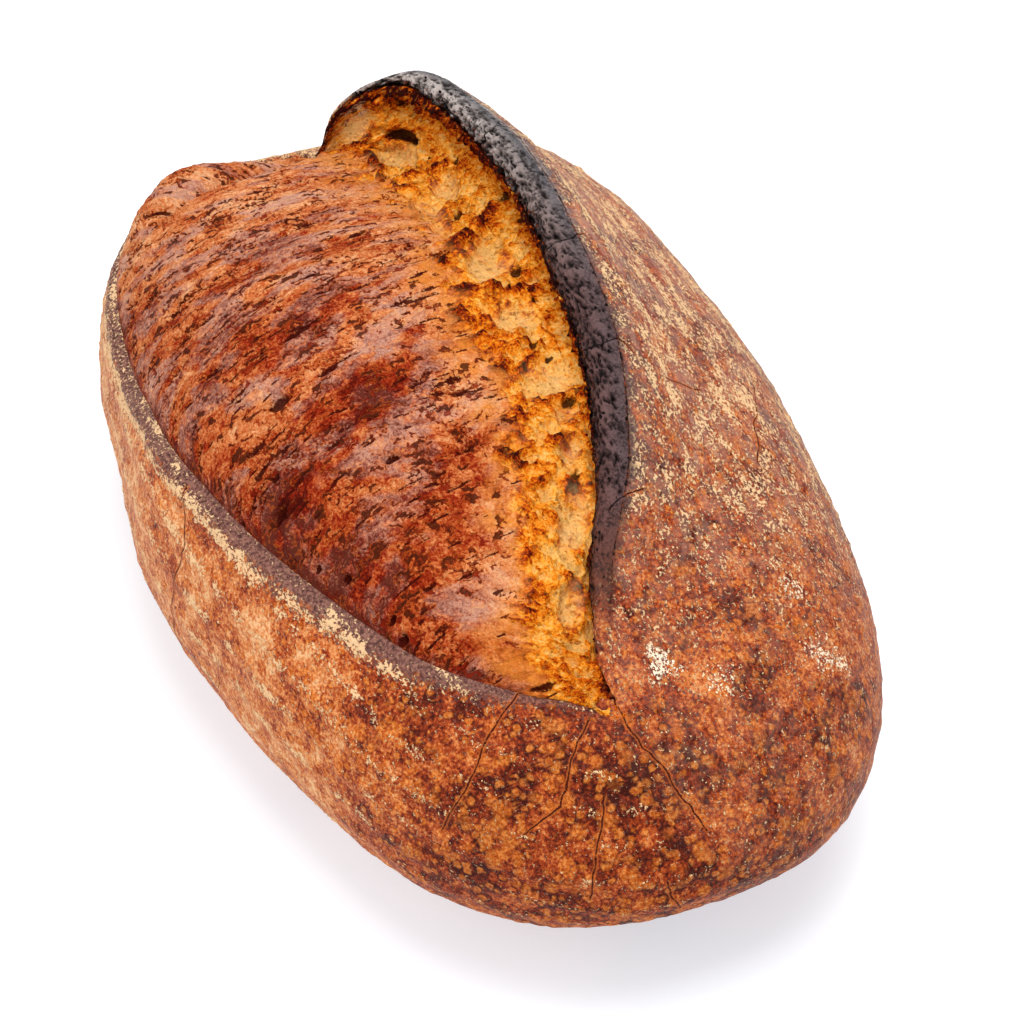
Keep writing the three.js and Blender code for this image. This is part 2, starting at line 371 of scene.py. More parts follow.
# Rings of the proofing basket's cane: they run round the loaf, about the spine of its body
RING_PITCH = 8.0
SPINE_REACH = 75
SPINE_HEIGHT = 30
RING_RADIUS = 62
BLISTERS = 3600
BLISTER_RISE = 0.11
LIP_PITS = 1100
LIP_PIT_REACH = 2.2
LIP_PIT_DEPTH = 0.5
# Fine cracks in the crust, as points (x, y, z) of the loaf
CRACKS = [
    [(93, -34, 76), (96, -40, 72), (98, -46, 67), (100, -48, 64), (101, -52, 58), (101, -56, 51)],
    [(105, -22, 72), (109, -28, 68), (112, -30, 65), (115, -34, 61), (115, -41, 56)],
    [(106, -14, 73), (114, -13, 69), (118, -10, 66), (122, -9, 63), (130, -5, 55)],
    [(119, -25, 62), (123, -27, 57), (125, -30, 51), (127, -32, 42)],
    [(134, -16, 44), (134, -13, 36)],
    [(-7, -73, 72), (1, -77, 62), (-5, -77, 23)],
    [(31, 61, 82), (44, 54, 85), (56, 48, 85)],
    [(38, 33, 102), (38, 36, 99), (38, 40, 96)],
    [(-33, 67, 83), (-29, 65, 85), (-17, 62, 88)],
    [(-6, 62, 88), (0, 61, 88)],
    [(-48, 26, 115), (-49, 31, 117), (-47, 34, 115)],
    [(-4, 23, 114), (-3, 26, 116), (-4, 31, 116)],
    [(27, 15, 109), (30, 19, 111), (29, 24, 111), (33, 26, 110)],
    [(68, 3, 98), (67, 5, 99), (66, 11, 98)],
]
# Handfuls of flour on the right crust: x, y, reach, thickness
FLOUR_CLUSTERS = [
    (100, -1, 4.5, 1.0), (105, 38, 4, 0.75), (106, 43, 3, 0.75), (91, 39, 3.5, 0.6), (107, 11, 3.5, 0.5)]


def crack_lines(flat, normal):
    """For each point, how far beside a crack it is, with its side, and whether it is near one."""
    beside = np.full(len(flat), 3.0)
    near = np.zeros(len(flat))
    nearest = np.full(len(flat), 1e9)
    wobble = 0.8 * clouds(flat, 5, 2, 41)
    for crack in CRACKS:
        points = np.array(crack, float) + [0, MIDDLE_Y, 0]
        for first, second in zip(points[:-1], points[1:]):
            ahead = second - first
            length = np.linalg.norm(ahead)
            ahead = ahead / length
            away = flat - first
            on_line = away @ ahead
            off = away - np.clip(on_line, 0, length)[:, None] * ahead
            distance = np.linalg.norm(off, axis=1)
            side = np.einsum("ij,ij->i", away, np.cross(ahead, normal))
            closer = (distance < nearest) & (distance < 8)
            nearest = np.where(closer, distance, nearest)
            beside = np.where(closer, np.clip(side + wobble, -3, 3), beside)
            inside = (on_line > -1.5) & (on_line < length + 1.5) & (np.abs(side) < 5) & closer
            near = np.maximum(near, inside)
    return beside, near


def crust_places(grid):
    """Where each point of the crust lies: on which run and side, how far below the ledge or past the lip."""
    flat = grid.reshape(-1, 3)
    x = flat[:, 0]
    z = flat[:, 2]
    across = np.broadcast_to(np.arange(AROUND)[None, :], grid.shape[:2]).ravel()
    opened = openness(x)
    steps = np.linalg.norm(np.diff(grid, axis=1), axis=2)
    length = np.concatenate([np.zeros((STATIONS, 1)), np.cumsum(steps, axis=1)], axis=1)
    middle_of_cut = (grid[:, LEDGE_AT, 1] + grid[:, RIGHT_AT, 1]) / 2
    from_cut = (grid[..., 1] - middle_of_cut[:, None]).ravel()
    on_step = ((across >= LEDGE_AT) & (across < BED_AT)) * opened
    on_bed = ((across >= BED_AT) & (across < LIP_AT)) * opened
    on_lip = ((across >= LIP_AT) & (across < RIGHT_AT)) * opened
    return SimpleNamespace(
        flat=flat, x=x, y=flat[:, 1], z=z, across=across,
        normal=normals_of(grid).reshape(-1, 3), area=areas_of(grid).ravel(),
        below_ledge=(length[:, LEDGE_AT:LEDGE_AT + 1] - length).ravel(),
        past_lip=(length - length[:, RIGHT_AT:RIGHT_AT + 1]).ravel(),
        right=smooth_step(from_cut, -8, 8), nose=smooth_step(x, 45, 110), far=smooth_step(x, 30, -100),
        low=smooth_step(z, 34, 6), on_flank=(across < LEDGE_AT) * opened, on_step=on_step, on_bed=on_bed,
        on_lip=on_lip, lip_share=np.clip((across - LIP_AT) / LIP_POINTS, 0, 1),
        skin=1 - smooth_step(on_step + on_bed + on_lip, 0, 0.4))


def basket_rings(at):
    """The rings that the proofing basket left: 1 on a ring, and -1 between two."""
    around_spine = np.hypot(np.maximum(np.abs(at.x) - SPINE_REACH, 0), at.y)
    slope = np.arctan2(at.z - SPINE_HEIGHT, around_spine)
    ring_at = RING_RADIUS * slope + 1.5 * clouds(at.flat, 30, 2, 4)
    return np.cos(2 * math.pi * ring_at / RING_PITCH)


def raise_blisters(at, weights, height):
    """Lifts small domes in the skin, and gives for each point how high up a blister it is."""
    blister = np.zeros(len(at.flat))
    spots = []
    for index in strewn(weights, BLISTERS):
        radius = 0.9 + 1.7 * rng.random() ** 2.5
        spots.append((*at.flat[index], radius, rng.uniform(0.3, 1.0)))
    for (*_, radius, amber), found, away in near_each(at.flat, spots):
        dome = np.clip(1 - (away ** 2).sum(1) / radius ** 2, 0, 1) * at.skin[found]
        height[found] += BLISTER_RISE * radius * dome
        blister[found] = np.maximum(blister[found], dome ** 0.5 * amber)
    return blister


def pit_lip(at, weights, height):
    """Sinks pits in the charred lip, drawn out along it, and gives how far in a pit each point is."""
    pitted = np.zeros(len(at.flat))
    spots = []
    for index in strewn(weights, LIP_PITS):
        spots.append((*at.flat[index], LIP_PIT_REACH, rng.uniform(0.3, 0.6), rng.uniform(1.0, 2.4)))
    for (*_, radius, longer), found, away in near_each(at.flat, spots):
        reach = np.hypot(away[:, 0] / (radius * longer), np.hypot(away[:, 1], away[:, 2]) / radius)
        hole = smooth_step(reach, 1.35, 0.5) * (at.on_lip[found] > 0.3)
        height[found] -= LIP_PIT_DEPTH * hole
        pitted[found] = np.maximum(pitted[found], hole)
    return pitted


def crust_relief(at, fine, ring):
    """How far the crust stands out: gentle dents, the basket's rings, blisters and the lip's pits."""
    height = 0.5 * clouds(at.flat, 20, 3, 1) + 0.1 * clouds(at.flat, 4, 3, 2)
    height += 0.08 * fine
    height += 0.22 * ring * ((1 - 0.5 * at.right) * smooth_step(at.z, 3, 14) * at.skin)
    more_at_nose = 0.35 + 0.65 * smooth_step(at.x, 20, 110)
    blister = raise_blisters(at, at.area * at.skin * (at.z > 2) * more_at_nose, height)
    toward_inner_edge = (1.2 - at.lip_share) ** 1.5 * smooth_step(at.x, 85, 40) * smooth_step(at.x, -91, -87)
    pitted = pit_lip(at, at.area * (at.on_lip > 0.5) * toward_inner_edge, height)

    # The lip's inner edge is ragged, the bed is smooth, and the ledge of the flank curls up a little
    ragged = clouds(at.flat, (2.2, 1.5, 1.5), 2, 32)
    height += 0.9 * ragged * smooth_step(at.lip_share, 0.3, 0) * (at.on_lip > 0.3)
    height *= 1 - smooth_step(at.on_bed, 0, 0.3)
    height += 0.45 * smooth_step(at.below_ledge, 3.5, 0) * at.on_flank
    return height * smooth_step(at.z, 0.2, 4), blister, pitted


def crust_toast(at):
    """How browned the crust is: palest on the left flank, darkest at the nose, and in patches."""
    side = 0.37 + 0.24 * at.right
    toast = side + (0.68 - side) * at.nose * (1 - 0.4 * at.low) + 0.22 * clouds(at.flat, 13, 3, 11)
    toast -= at.far * (0.07 - 0.03 * at.right)
    # A light patch at the cut's near end, a dark one on the nose, and a dark stretch beside the ledge
    toast -= 0.22 * smooth_step(np.hypot(at.x - 109, at.y + 4), 24, 5) * smooth_step(at.z, 50, 62)
    toast += 0.24 * smooth_step(np.hypot((at.x - 117) / 15, (at.y + 11) / 21), 1.2, 0.3)
    toast -= 0.05 * at.low + 0.1 * at.nose * smooth_step(at.y, 12, 36)
    by_ledge = at.on_flank * smooth_step(at.below_ledge, 12, 5)
    return toast + 0.12 * by_ledge * smooth_step(at.x, -60, 30) * smooth_step(at.x, 98, 78)


def crust_dust(at):
    """How much flour is rubbed into the skin as a dull veil."""
    dust = at.right * (1 - 0.7 * at.nose) * (0.68 + 0.5 * clouds(at.flat, (16, 7, 7), 3, 12) + 0.12 * at.far)
    return np.clip(dust + 0.1 * (1 - at.right) * at.far, 0, 1)


def crust_flour(at, fine, ring, broken, streaks):
    """How much flour lies on the crust, and how thick its handfuls near the cut's end are."""
    beside_ledge = at.below_ledge + 1.2 * broken
    stripe = smooth_step(beside_ledge, 4.6, 3.2) * smooth_step(beside_ledge, 0.8, 1.6) * at.on_flank
    stripe *= smooth_step(at.x, -125, -90) * smooth_step(at.x, 92, 60) * (0.62 + 0.6 * broken)
    lines = smooth_step(ring + 0.5 * fine, 0.4, 1.0) * (0.75 - 0.5 * at.right - 0.35 * at.nose)
    lines *= smooth_step(at.z, 4, 12) * (0.6 + 1.3 * broken)
    top = at.right * smooth_step(at.past_lip, 160, 60) * (1 - 0.6 * at.nose)
    top *= 0.36 + 0.8 * streaks + 0.1 * at.far
    foot = 0.5 * at.low * (1 - at.right) * smooth_step(at.x, 20, 70) * (0.6 + broken)
    heap = np.zeros(len(at.flat))
    for spot_x, spot_y, reach, thick in FLOUR_CLUSTERS:
        away = np.hypot(at.x - spot_x, at.y - MIDDLE_Y - spot_y) / reach
        heap = np.maximum(heap, thick * smooth_step(away + 0.5 * fine + 0.4 * broken, 1.25, 0.5))
    flour = 0.05 - 0.1 * at.nose + 0.28 * at.far * (1 - at.right)
    flour += stripe + lines + top + foot + 0.6 * heap * at.right
    return np.clip(flour, -0.1, 1), heap


def lip_and_ledge(at, fine, broken, streaks):
    """The lip's char and ash, the torn crust past its far end, soot, and the dark band on the ledge."""
    ragged = 0.1 * clouds(at.flat, 3, 3, 31)
    on_right = at.across >= RIGHT_AT
    lip = smooth_step(at.on_lip, 0, 0.3)
    past = on_right * smooth_step(at.past_lip + 8 * ragged, 2.0, 0.9)
    ear = smooth_step(at.x, 96, 76) * smooth_step(at.x, -92.8 + 9 * ragged, -91 + 9 * ragged)
    beyond = on_right * smooth_step(at.past_lip + 20 * ragged, 7, 4)
    beside_lip = smooth_step(at.past_lip, 16, 2) * smooth_step(at.x, 85, 50) * (0.4 + 0.9 * streaks)
    soot = at.right * (0.12 + beside_lip)
    soot += 0.45 * smooth_step(at.below_ledge + 1.2 * broken, 6, 2) * at.on_flank + 0.1 * streaks
    band = smooth_step(at.below_ledge + 1.3 * fine + 8 * ragged, 1.5, 0.3) * at.on_flank
    return {
        "char": np.clip((lip + past) * ear, 0, 1),
        "ash": smooth_step(at.x, 20, -80) * 0.75 + 0.2 * smooth_step(at.x, 85, 55),
        "torn": np.clip(lip + beyond, 0, 1) * smooth_step(at.x, -91, -93),
        "soot": np.clip(soot, 0, 1),
        "band": np.maximum(band, np.minimum(1, at.on_step + at.on_bed * (at.across < BED_AT + 4))),
        "lip_share": at.lip_share * (at.on_lip > 0) + (at.past_lip > 0),
    }


def make_crust():
    """The crust as a piece, and for the loose flour its points, normals, where flour settles and heaps."""
    at = crust_places(crust_grid())
    fine = clouds(at.flat, 1.7, 2, 3)
    broken = clouds(at.flat, 5, 3, 21)
    streaks = clouds(at.flat, (11, 2.6, 2.6), 3, 22)
    ring = basket_rings(at)
    height, blister, pitted = crust_relief(at, fine, ring)
    moved = at.flat + at.normal * height[:, None]
    moved[:, 2] = np.maximum(moved[:, 2], 0)
    moved[:, 1] -= MIDDLE_Y

    flour, heap = crust_flour(at, fine, ring, broken, streaks)
    beside, near = crack_lines(at.flat, at.normal)
    tones = lip_and_ledge(at, fine, broken, streaks)

    piece, ring_of, place_of = start_from_sphere("crust", STATIONS, AROUND)
    pole = (ring_of < 0) | (ring_of >= STATIONS)
    index = np.clip(ring_of, 0, STATIONS - 1) * AROUND + place_of
    points = moved[index]
    points[pole] = np.where(ring_of[pole, None] < 0, [[-TIP, 0, WAIST]], [[TIP, 0, WAIST]])
    set_points(piece, points)
    add_attributes(piece, index, {
        "toast": crust_toast(at), "dust": crust_dust(at), "flour": flour, "heap": heap, "blister": blister,
        "pitted": pitted, "crack": beside, "crack_near": near, **tones})
    settled = at.area * (np.maximum(0, flour - 0.16) ** 1.5 + 3 * heap * at.right) * (1 - tones["char"])
    return piece, moved, at.normal, settled, heap


# Loose flour: small clumps that lie on the crust

CLUMPS = 6000
CLUMP_SIZES = (0.1, 0.3)


def make_flour(places, normal, settled, heap):
    bpy.ops.object.select_all(action="DESELECT")
    bpy.ops.mesh.primitive_ico_sphere_add(subdivisions=1, radius=1)
    piece = bpy.context.object
    piece.name = "flour_clumps"
    corners = np.array([vertex.co[:] for vertex in piece.data.vertices])
    faces = np.array([face.vertices[:] for face in piece.data.polygons])
    points = []
    whiteness = []
    for index in strewn(settled, CLUMPS):
        size = CLUMP_SIZES[0] + (CLUMP_SIZES[1] - CLUMP_SIZES[0]) * rng.random() ** 2
        lumpy = np.array([[rng.uniform(0.65, 1.35)] for _ in corners])
        shape = corners * lumpy * size
        up = normal[index]
        shape -= 0.4 * (shape @ up)[:, None] * up
        sideways = np.array([rng.uniform(-0.5, 0.5) for _ in range(3)])
        sideways -= (sideways @ up) * up
        points.append(places[index] + sideways + up * size * 0.25 + shape)
        whiteness.append(np.full(len(corners), heap[index]))
    every = np.arange(len(points))[:, None, None] * len(corners) + faces
    mesh = bpy.data.meshes.new("flour_clumps")
    mesh.from_pydata((np.concatenate(points) * MM).tolist(), [], every.reshape(-1, 3).tolist())
    piece.data = mesh
    add_attributes(piece, np.arange(len(points) * len(corners)), {"heap": np.concatenate(whiteness)})
    return piece


def flour_material():
    """Dry flour and bran stuck to the crust: dull cream, whiter where it lies thick."""
    material, tree = new_material("dry flour")
    heap = add_node(tree, "ShaderNodeAttribute", output="Fac", attribute_name="heap")
    colour = add_node(
        tree, "ShaderNodeMix", {0: heap, 6: srgb("#e4bf8e"), 7: srgb("#fbeed8")}, output=2, data_type="RGBA")
    surface = add_node(tree, "ShaderNodeBsdfPrincipled", {
        "Base Color": colour, "Roughness": 0.95, "Specular IOR Level": 0.05})
    add_node(tree, "ShaderNodeOutputMaterial", {"Surface": surface})
    return material


# The bloom of torn dough

BLOOM_ROWS = 400
BLOOM_COLUMNS = 236
BLOOM_FAR = -130.5
BLOOM_NEAR = 107.2
# How far the sheet's sides reach in under the ledge and behind the lip. Its rim is then drawn in and down
# under the crust in steps, as mm across and up, to a flat bottom inside the loaf
TUCK = 1.2
RIM_STEPS = [(5, -2), (3, -4), (0, -2)]
BOTTOM = 30


def bloom_section(x):
    """The bloom's section at x from under the ledge to behind the lip, with t: 0 to 1 bloom, 1 to 2 wall."""
    _, step, bloom, wall, _, _ = runs_at(x)
    t = np.linspace(0, 1, DRAWN_POINTS)
    start = bloom[0] + (step[-2] - bloom[0]) * 2 - [0, TUCK]
    end = wall[-1] + [TUCK, -0.3 * TUCK]
    run = np.concatenate([[start], bloom, wall[1:], [end]])
    share = np.concatenate([[0], t, 1 + t[1:], [2]])
    return np.column_stack([run, share])


def bloom_grid():
    xs = np.linspace(BLOOM_FAR, BLOOM_NEAR, 600)
    middle = np.array([[x, *runs_at(x)[2][DRAWN_POINTS // 3]] for x in xs])
    rows = []
    for x in respaced(middle, BLOOM_ROWS, last=True)[:, 0]:
        section = bloom_section(x)
        steps = np.linalg.norm(np.diff(section[:, :2], axis=0), axis=1)
        lengths = np.concatenate([[0], np.cumsum(steps + 1e-9)])
        at = np.linspace(0, lengths[-1], BLOOM_COLUMNS)
        columns = [np.interp(at, lengths, section[:, k]) for k in range(3)]
        rows.append(np.column_stack([np.full(BLOOM_COLUMNS, x)] + columns))
    return np.array(rows)


# How far the golden torn crumb reaches below the lip before browned skin covers it, and how far down the
# dough is scorched and blackened, in mm along the torn surface
crumb_reach = along(
    (-131, -5), (-97.5, -5), (-95, 6), (-92, 16), (-88, 26), (-74, 33), (-55, 31), (-34, 32), (-13, 35),
    (2, 34), (20, 30), (48, 30), (63, 29), (76, 26), (87, 21), (99, 13), (108, 5))
scorch_reach = along(
    (-131, 4), (-95, 6), (-85, 10), (-60, 10), (-20, 12), (10, 9), (30, 7), (50, 5), (80, 3.5), (108, 3))
black_reach = along(
    (-131, 1), (-95, 2), (-88, 4), (-80, 4.5), (-60, 3), (-20, 2.6), (40, 2), (80, 1.2), (108, 0.8))
# How the streaks of stretched dough lean along the loaf, in mm for each mm across: on top, on the rise
# from the ledge, where they leave the ledge, and in the torn crumb
lean_on_top = along((-131, 0.9), (-90, 0.5), (-40, 0.0), (-20, -0.2), (60, -0.2), (80, 0.0), (108, 0.3))
LEAN_ON_RISE = 0.35
LEAN_IN_CRUMB = 0.7
lean_at_ledge = along((-131, -0.4), (-100, -1.0), (-60, -1.4), (40, -1.4), (80, -0.8), (108, -0.4))
LEAN_REACH = 7


def streak_lean(x, across, share):
    """How far along the loaf the streaks lean for each mm across, at points of the bloom."""
    rise = LEAN_ON_RISE * smooth_step(across, 55, 20)
    torn = LEAN_IN_CRUMB * smooth_step(share, 0.72, 0.95)
    return lean_on_top(x) + rise + lean_at_ledge(x) * np.exp(-across / LEAN_REACH) + torn


# Slits and holes in the bloom: x, y, half length along the streaks, half width, depth
BLOOM_HOLES = [
    (21.6, -60.5, 3.6, 1.5, 3.0), (39.2, -58.8, 1.4, 1.0, 1.8), (47.0, -55.1, 1.4, 1.1, 1.8),
    (67.4, -50.5, 1.8, 1.3, 2.0), (62.3, -50.6, 1.4, 1.0, 1.6), (13.6, -66.6, 1.3, 0.9, 1.5),
    (13.7, -58.4, 1.6, 1.1, 1.8), (-11.4, -67.1, 2.4, 0.9, 1.8), (-18.2, -65.9, 2.8, 0.9, 2.0),
    (-1.8, -50.4, 3.2, 1.4, 2.2), (31.1, -35.2, 2.0, 1.3, 2.6), (-25.2, -57.8, 2.6, 0.8, 1.4),
    (-60.8, -65.3, 2.6, 0.9, 1.6), (-77.7, -58.2, 1.9, 0.8, 1.2), (-17.8, -36.8, 8.0, 0.9, 1.4),
    (-1.5, -35.2, 6.0, 0.9, 1.4), (-13.5, -6.4, 7.0, 0.7, 1.2),
]
# In the torn crumb, places are given as x and how far below the lip. Open bubbles with smooth pale floors:
# x, below, half length, half width, depth
CRUMB_HOLLOWS = [
    (-77, 22, 5, 5, 3.5), (-91, 11, 2.6, 7, 1.2), (-48, 28, 7, 4.5, 2.2), (-56, 19.5, 5, 3.2, 1.6),
    (-38, 29.5, 5, 2.4, 1.2), (-21, 22, 7, 6, 3.6), (1, 21, 4.2, 5, 2.4), (23, 18.5, 5, 7, 2.6),
    (33.3, 16.5, 2.4, 3.0, 1.4), (44.6, 16.6, 4, 2.4, 1.2), (61, 16, 7.5, 4, 2.6), (79, 12, 5, 3, 1.2),
]
# Small holes in it, which the material paints dark as shade: x, below, half length, half width, depth
CRUMB_HOLES = [
    (-90.7, 3.6, 1.0, 1.7, 2.5), (-84, 6.3, 1.3, 1.6, 2.5), (-68.5, 5.5, 2.6, 1.5, 2.5),
    (-80.9, 15.3, 4.4, 1.7, 4.5), (-43.2, 21.1, 1.7, 2.4, 2.5), (-39, 9.1, 1.4, 1.5, 2.2),
    (-15.3, 15.8, 2.0, 1.9, 3.0), (-3, 14.4, 0.9, 0.8, 1.2), (10.8, 18.9, 0.9, 0.9, 1.2),
    (16.4, 16.3, 0.9, 1.2, 1.5), (30.4, 14.8, 1.4, 2.2, 2.6), (50.4, 15.5, 1.4, 1.2, 1.6),
    (-69, 17, 1.1, 1.1, 1.4), (-60, 12, 1.2, 1.2, 1.5), (-28, 8, 1.0, 1.6, 1.6), (8, 7, 1.0, 1.0, 1.2),
]
# Crests of burnt crumb between them: x and below at both ends, half width and height
CRUMB_CRESTS = [
    (-28, 31, -34, 21, 1.8, 1.6), (-34, 21, -37.7, 13, 2.2, 2.2), (-11.3, 34, -9.8, 24.8, 1.4, 1.4),
    (-9.8, 24.8, -4.2, 12, 1.7, 1.8), (17.6, 34, 18.7, 28, 0.9, 0.9), (18.7, 28, 16.4, 21.9, 0.9, 0.9),
    (-85.6, 22, -84.7, 17, 1.7, 1.6), (-82.4, 26, -79, 27, 1.2, 1.4), (39.4, 20.5, 42.4, 16.7, 1.9, 1.0),
    (76, 11.3, 74, 2.5, 1.5, 1.0), (-67, 24, -62, 14, 1.6, 1.4), (52, 19, 55, 12, 1.4, 0.9),
]
# Places on the skin that baked darker or stayed lighter: x, below, reach, amount
SMUDGES = [
    (-51, 70, 9, 0.16), (-19, 74, 7, 0.22), (4, 66, 9, 0.2), (15, 62, 8, 0.2), (30, 67, 8, 0.14),
    (20, 94, 7, 0.22), (56, 58, 10, 0.2), (47, 79, 8, 0.16), (-30, 92, 7, 0.14), (35, 45, 6, 0.1),
    (-76, 62, 14, -0.16), (-57, 95, 9, -0.16), (-11, 101, 8, -0.12), (75, 42, 9, -0.14), (-50, 50, 8, -0.1),
]
SLITS = 600


def crumb_features(x, below, bent):
    """The height that hollows, holes and crests add to the crumb, and how much of each a point is in."""
    height = np.zeros(len(x))
    bowls = []
    for places, wobble in ((CRUMB_HOLLOWS, 1.0), (CRUMB_HOLES, 1.2)):
        share = np.zeros(len(x))
        for spot_x, spot_below, long, wide, depth in places:
            away = np.hypot((x - spot_x) / long, (below - spot_below) / wide) + wobble * bent
            bowl = np.exp(-np.maximum(away, 0) ** 4)
            height -= depth * bowl
            share = np.maximum(share, bowl)
        bowls.append(share)
    crest = np.zeros(len(x))
    for x0, below0, x1, below1, half_width, high in CRUMB_CRESTS:
        ahead = np.array([x1 - x0, below1 - below0])
        on_line = np.clip(((x - x0) * ahead[0] + (below - below0) * ahead[1]) / (ahead @ ahead), 0, 1)
        away = np.hypot(x - x0 - ahead[0] * on_line, below - below0 - ahead[1] * on_line) + 2.5 * bent
        line = np.exp(-(away / half_width) ** 2)
        height += high * line
        crest = np.maximum(crest, line)
    return height, bowls[0], bowls[1], crest


def streak_ways(grid, lean):
    """The direction in which the streaks run at each point of the sheet."""
    way = np.gradient(grid[..., :3], axis=1).reshape(-1, 3)
    way /= np.maximum(np.linalg.norm(way, axis=1, keepdims=True), 1e-9)
    way[:, 0] += lean
    return way / np.maximum(np.linalg.norm(way, axis=1, keepdims=True), 1e-9)


def tear_skin(at, weights, fibres, height):
    """Sinks the holes and slits of the skin along its streaks, and gives how far in one each point is."""
    pit = np.zeros(len(at.flat))
    plan = kdtree.KDTree(len(at.flat))
    for index, (px, py) in enumerate(zip(at.flat[:, 0].tolist(), (at.flat[:, 1] - MIDDLE_Y).tolist())):
        plan.insert((px, py, 0), index)
    plan.balance()
    spots = []
    for hole_x, hole_y, long, wide, depth in BLOOM_HOLES:
        index = plan.find((hole_x, hole_y, 0))[1]
        spots.append((*at.flat[index], 1.5 * max(long, wide), long, wide, depth, 1.0, index))
    for index in strewn(weights, SLITS):
        wide = 0.3 + 0.4 * rng.random() ** 2
        long = wide * rng.uniform(2.5, 8)
        spots.append((*at.flat[index], 1.5 * long, long, wide, wide * 1.5, rng.uniform(0.5, 1.0), index))
    for (*_, long, wide, depth, dark, index), found, away in near_each(at.flat, spots):
        on_streak = away @ at.way[index]
        beside = np.sqrt(np.maximum(0, (away ** 2).sum(1) - on_streak ** 2))
        reach = np.hypot(on_streak / long, beside / wide)
        hole = smooth_step(reach + 0.25 * fibres[found], 1.35, 0.45) * dark
        height[found] -= depth * hole
        pit[found] = np.maximum(pit[found], hole)
    return pit


def sheet_places(grid):
    """Where each point of the sheet lies along and across the streaks, and whether it is crumb or skin."""
    flat = grid[..., :3].reshape(-1, 3)
    x = flat[:, 0]
    steps = np.linalg.norm(np.diff(grid[..., :3], axis=1), axis=2)
    length = np.concatenate([np.zeros((BLOOM_ROWS, 1)), np.cumsum(steps, axis=1)], axis=1)
    lean = streak_lean(grid[..., 0], length, grid[..., 3])
    drift = np.cumsum(lean * np.gradient(length, axis=1), axis=1).ravel()

    # Flow coordinates: the first stays the same along a streak of stretched dough, the second runs along it
    streak = x - drift + 3 * clouds(flat, 24, 2, 1)
    flow = np.column_stack([streak, length.ravel(), np.zeros(len(x))])
    below = (length[:, -1:] - TUCK - length).ravel()
    into = crumb_reach(x) - below
    crumb = smooth_step(into + 6 * clouds(flow, (6, 14, 1), 4, 2), -3, 2.5)
    return SimpleNamespace(
        flat=flat, x=x, share=grid[..., 3].ravel(), across=length.ravel(), below=below, into=into,
        flow=flow, lean=lean.ravel(), way=streak_ways(grid, lean.ravel()),
        normal=normals_of(grid[..., :3]).reshape(-1, 3), area=areas_of(grid[..., :3]).ravel(),
        bent=0.35 * clouds(flat, 6, 4, 11), crumb=crumb, skin=1 - crumb,
        warm=smooth_step(into + 8 * clouds(flow, (7, 12, 1), 3, 15), -13, -1))


def skin_relief(at):
    """The skin's height: folds, thin plates that overlap like shingles, and fibres."""
    folds = clouds(at.flow, (10, 24, 1), 3, 3)
    plates = 2.6 * clouds(at.flow, (5, 15, 1), 4, 4) + 0.25 * clouds(at.flow, (1.4, 4, 1), 2, 5)
    rest = plates - np.floor(plates)
    stair = np.floor(plates) + smooth_step(rest, 0.82, 1.0)
    torn_here = smooth_step(clouds(at.flat, 9, 2, 6), -0.15, 0.35)
    edge = smooth_step(rest, 0.62, 0.8) * smooth_step(rest, 1.0, 0.92) * torn_here
    fibres = clouds(at.flow, (1.3, 4, 1), 2, 7)
    height = 0.5 * folds + 0.35 * torn_here * (stair - plates + 0.4) + 0.22 * fibres - 0.25 * edge
    return SimpleNamespace(height=height, folds=folds, torn_here=torn_here, edge=edge, fibres=fibres)


def crumb_relief(at):
    """The crumb's height: bubbles with thin torn walls, then open hollows, holes that the material paints
    dark as shade, and crests.
    """
    ragged = clouds(at.flat, 5, 4, 9)
    threads = clouds(at.flow, (1.2, 2.6, 1), 3, 10)
    first, second = bubbles(at.flat + 1.2 * ragged[:, None], 5.0, 1)
    wide_open = smooth_step(second - first, 0.03, 0.38)
    first, second = bubbles(at.flat + 0.6 * threads[:, None], 2.2, 2)
    small_open = smooth_step(second - first, 0.04, 0.45)
    frothy = smooth_step(clouds(at.flat, 9, 2, 14) + 0.2 * smooth_step(at.below, 16, 6), -0.2, 0.2)
    scorched = smooth_step(at.below + 5 * ragged, scorch_reach(at.x), 0.3 * scorch_reach(at.x))
    black = smooth_step(at.below + 2.5 * ragged + threads, black_reach(at.x), 0.3 * black_reach(at.x))
    froth = 1.2 + 1.3 * ragged - 2.0 * frothy * wide_open + 0.6 * threads
    froth -= (0.6 + 0.5 * scorched) * small_open
    shaped, hollow, hole, crest = crumb_features(at.x, at.below, at.bent)
    froth += shaped
    return SimpleNamespace(
        # The hollows' floors are smoother than the torn crumb round them
        height=froth - hollow * 0.75 * (froth + 2.4 * hollow),
        burnt=0.34 * ragged + 0.25 * threads + 0.2 * (0.5 - small_open) + 0.3 * frothy * (0.4 - wide_open),
        ragged=ragged, threads=threads, scorched=scorched, black=black, hollow=hollow, hole=hole, crest=crest)


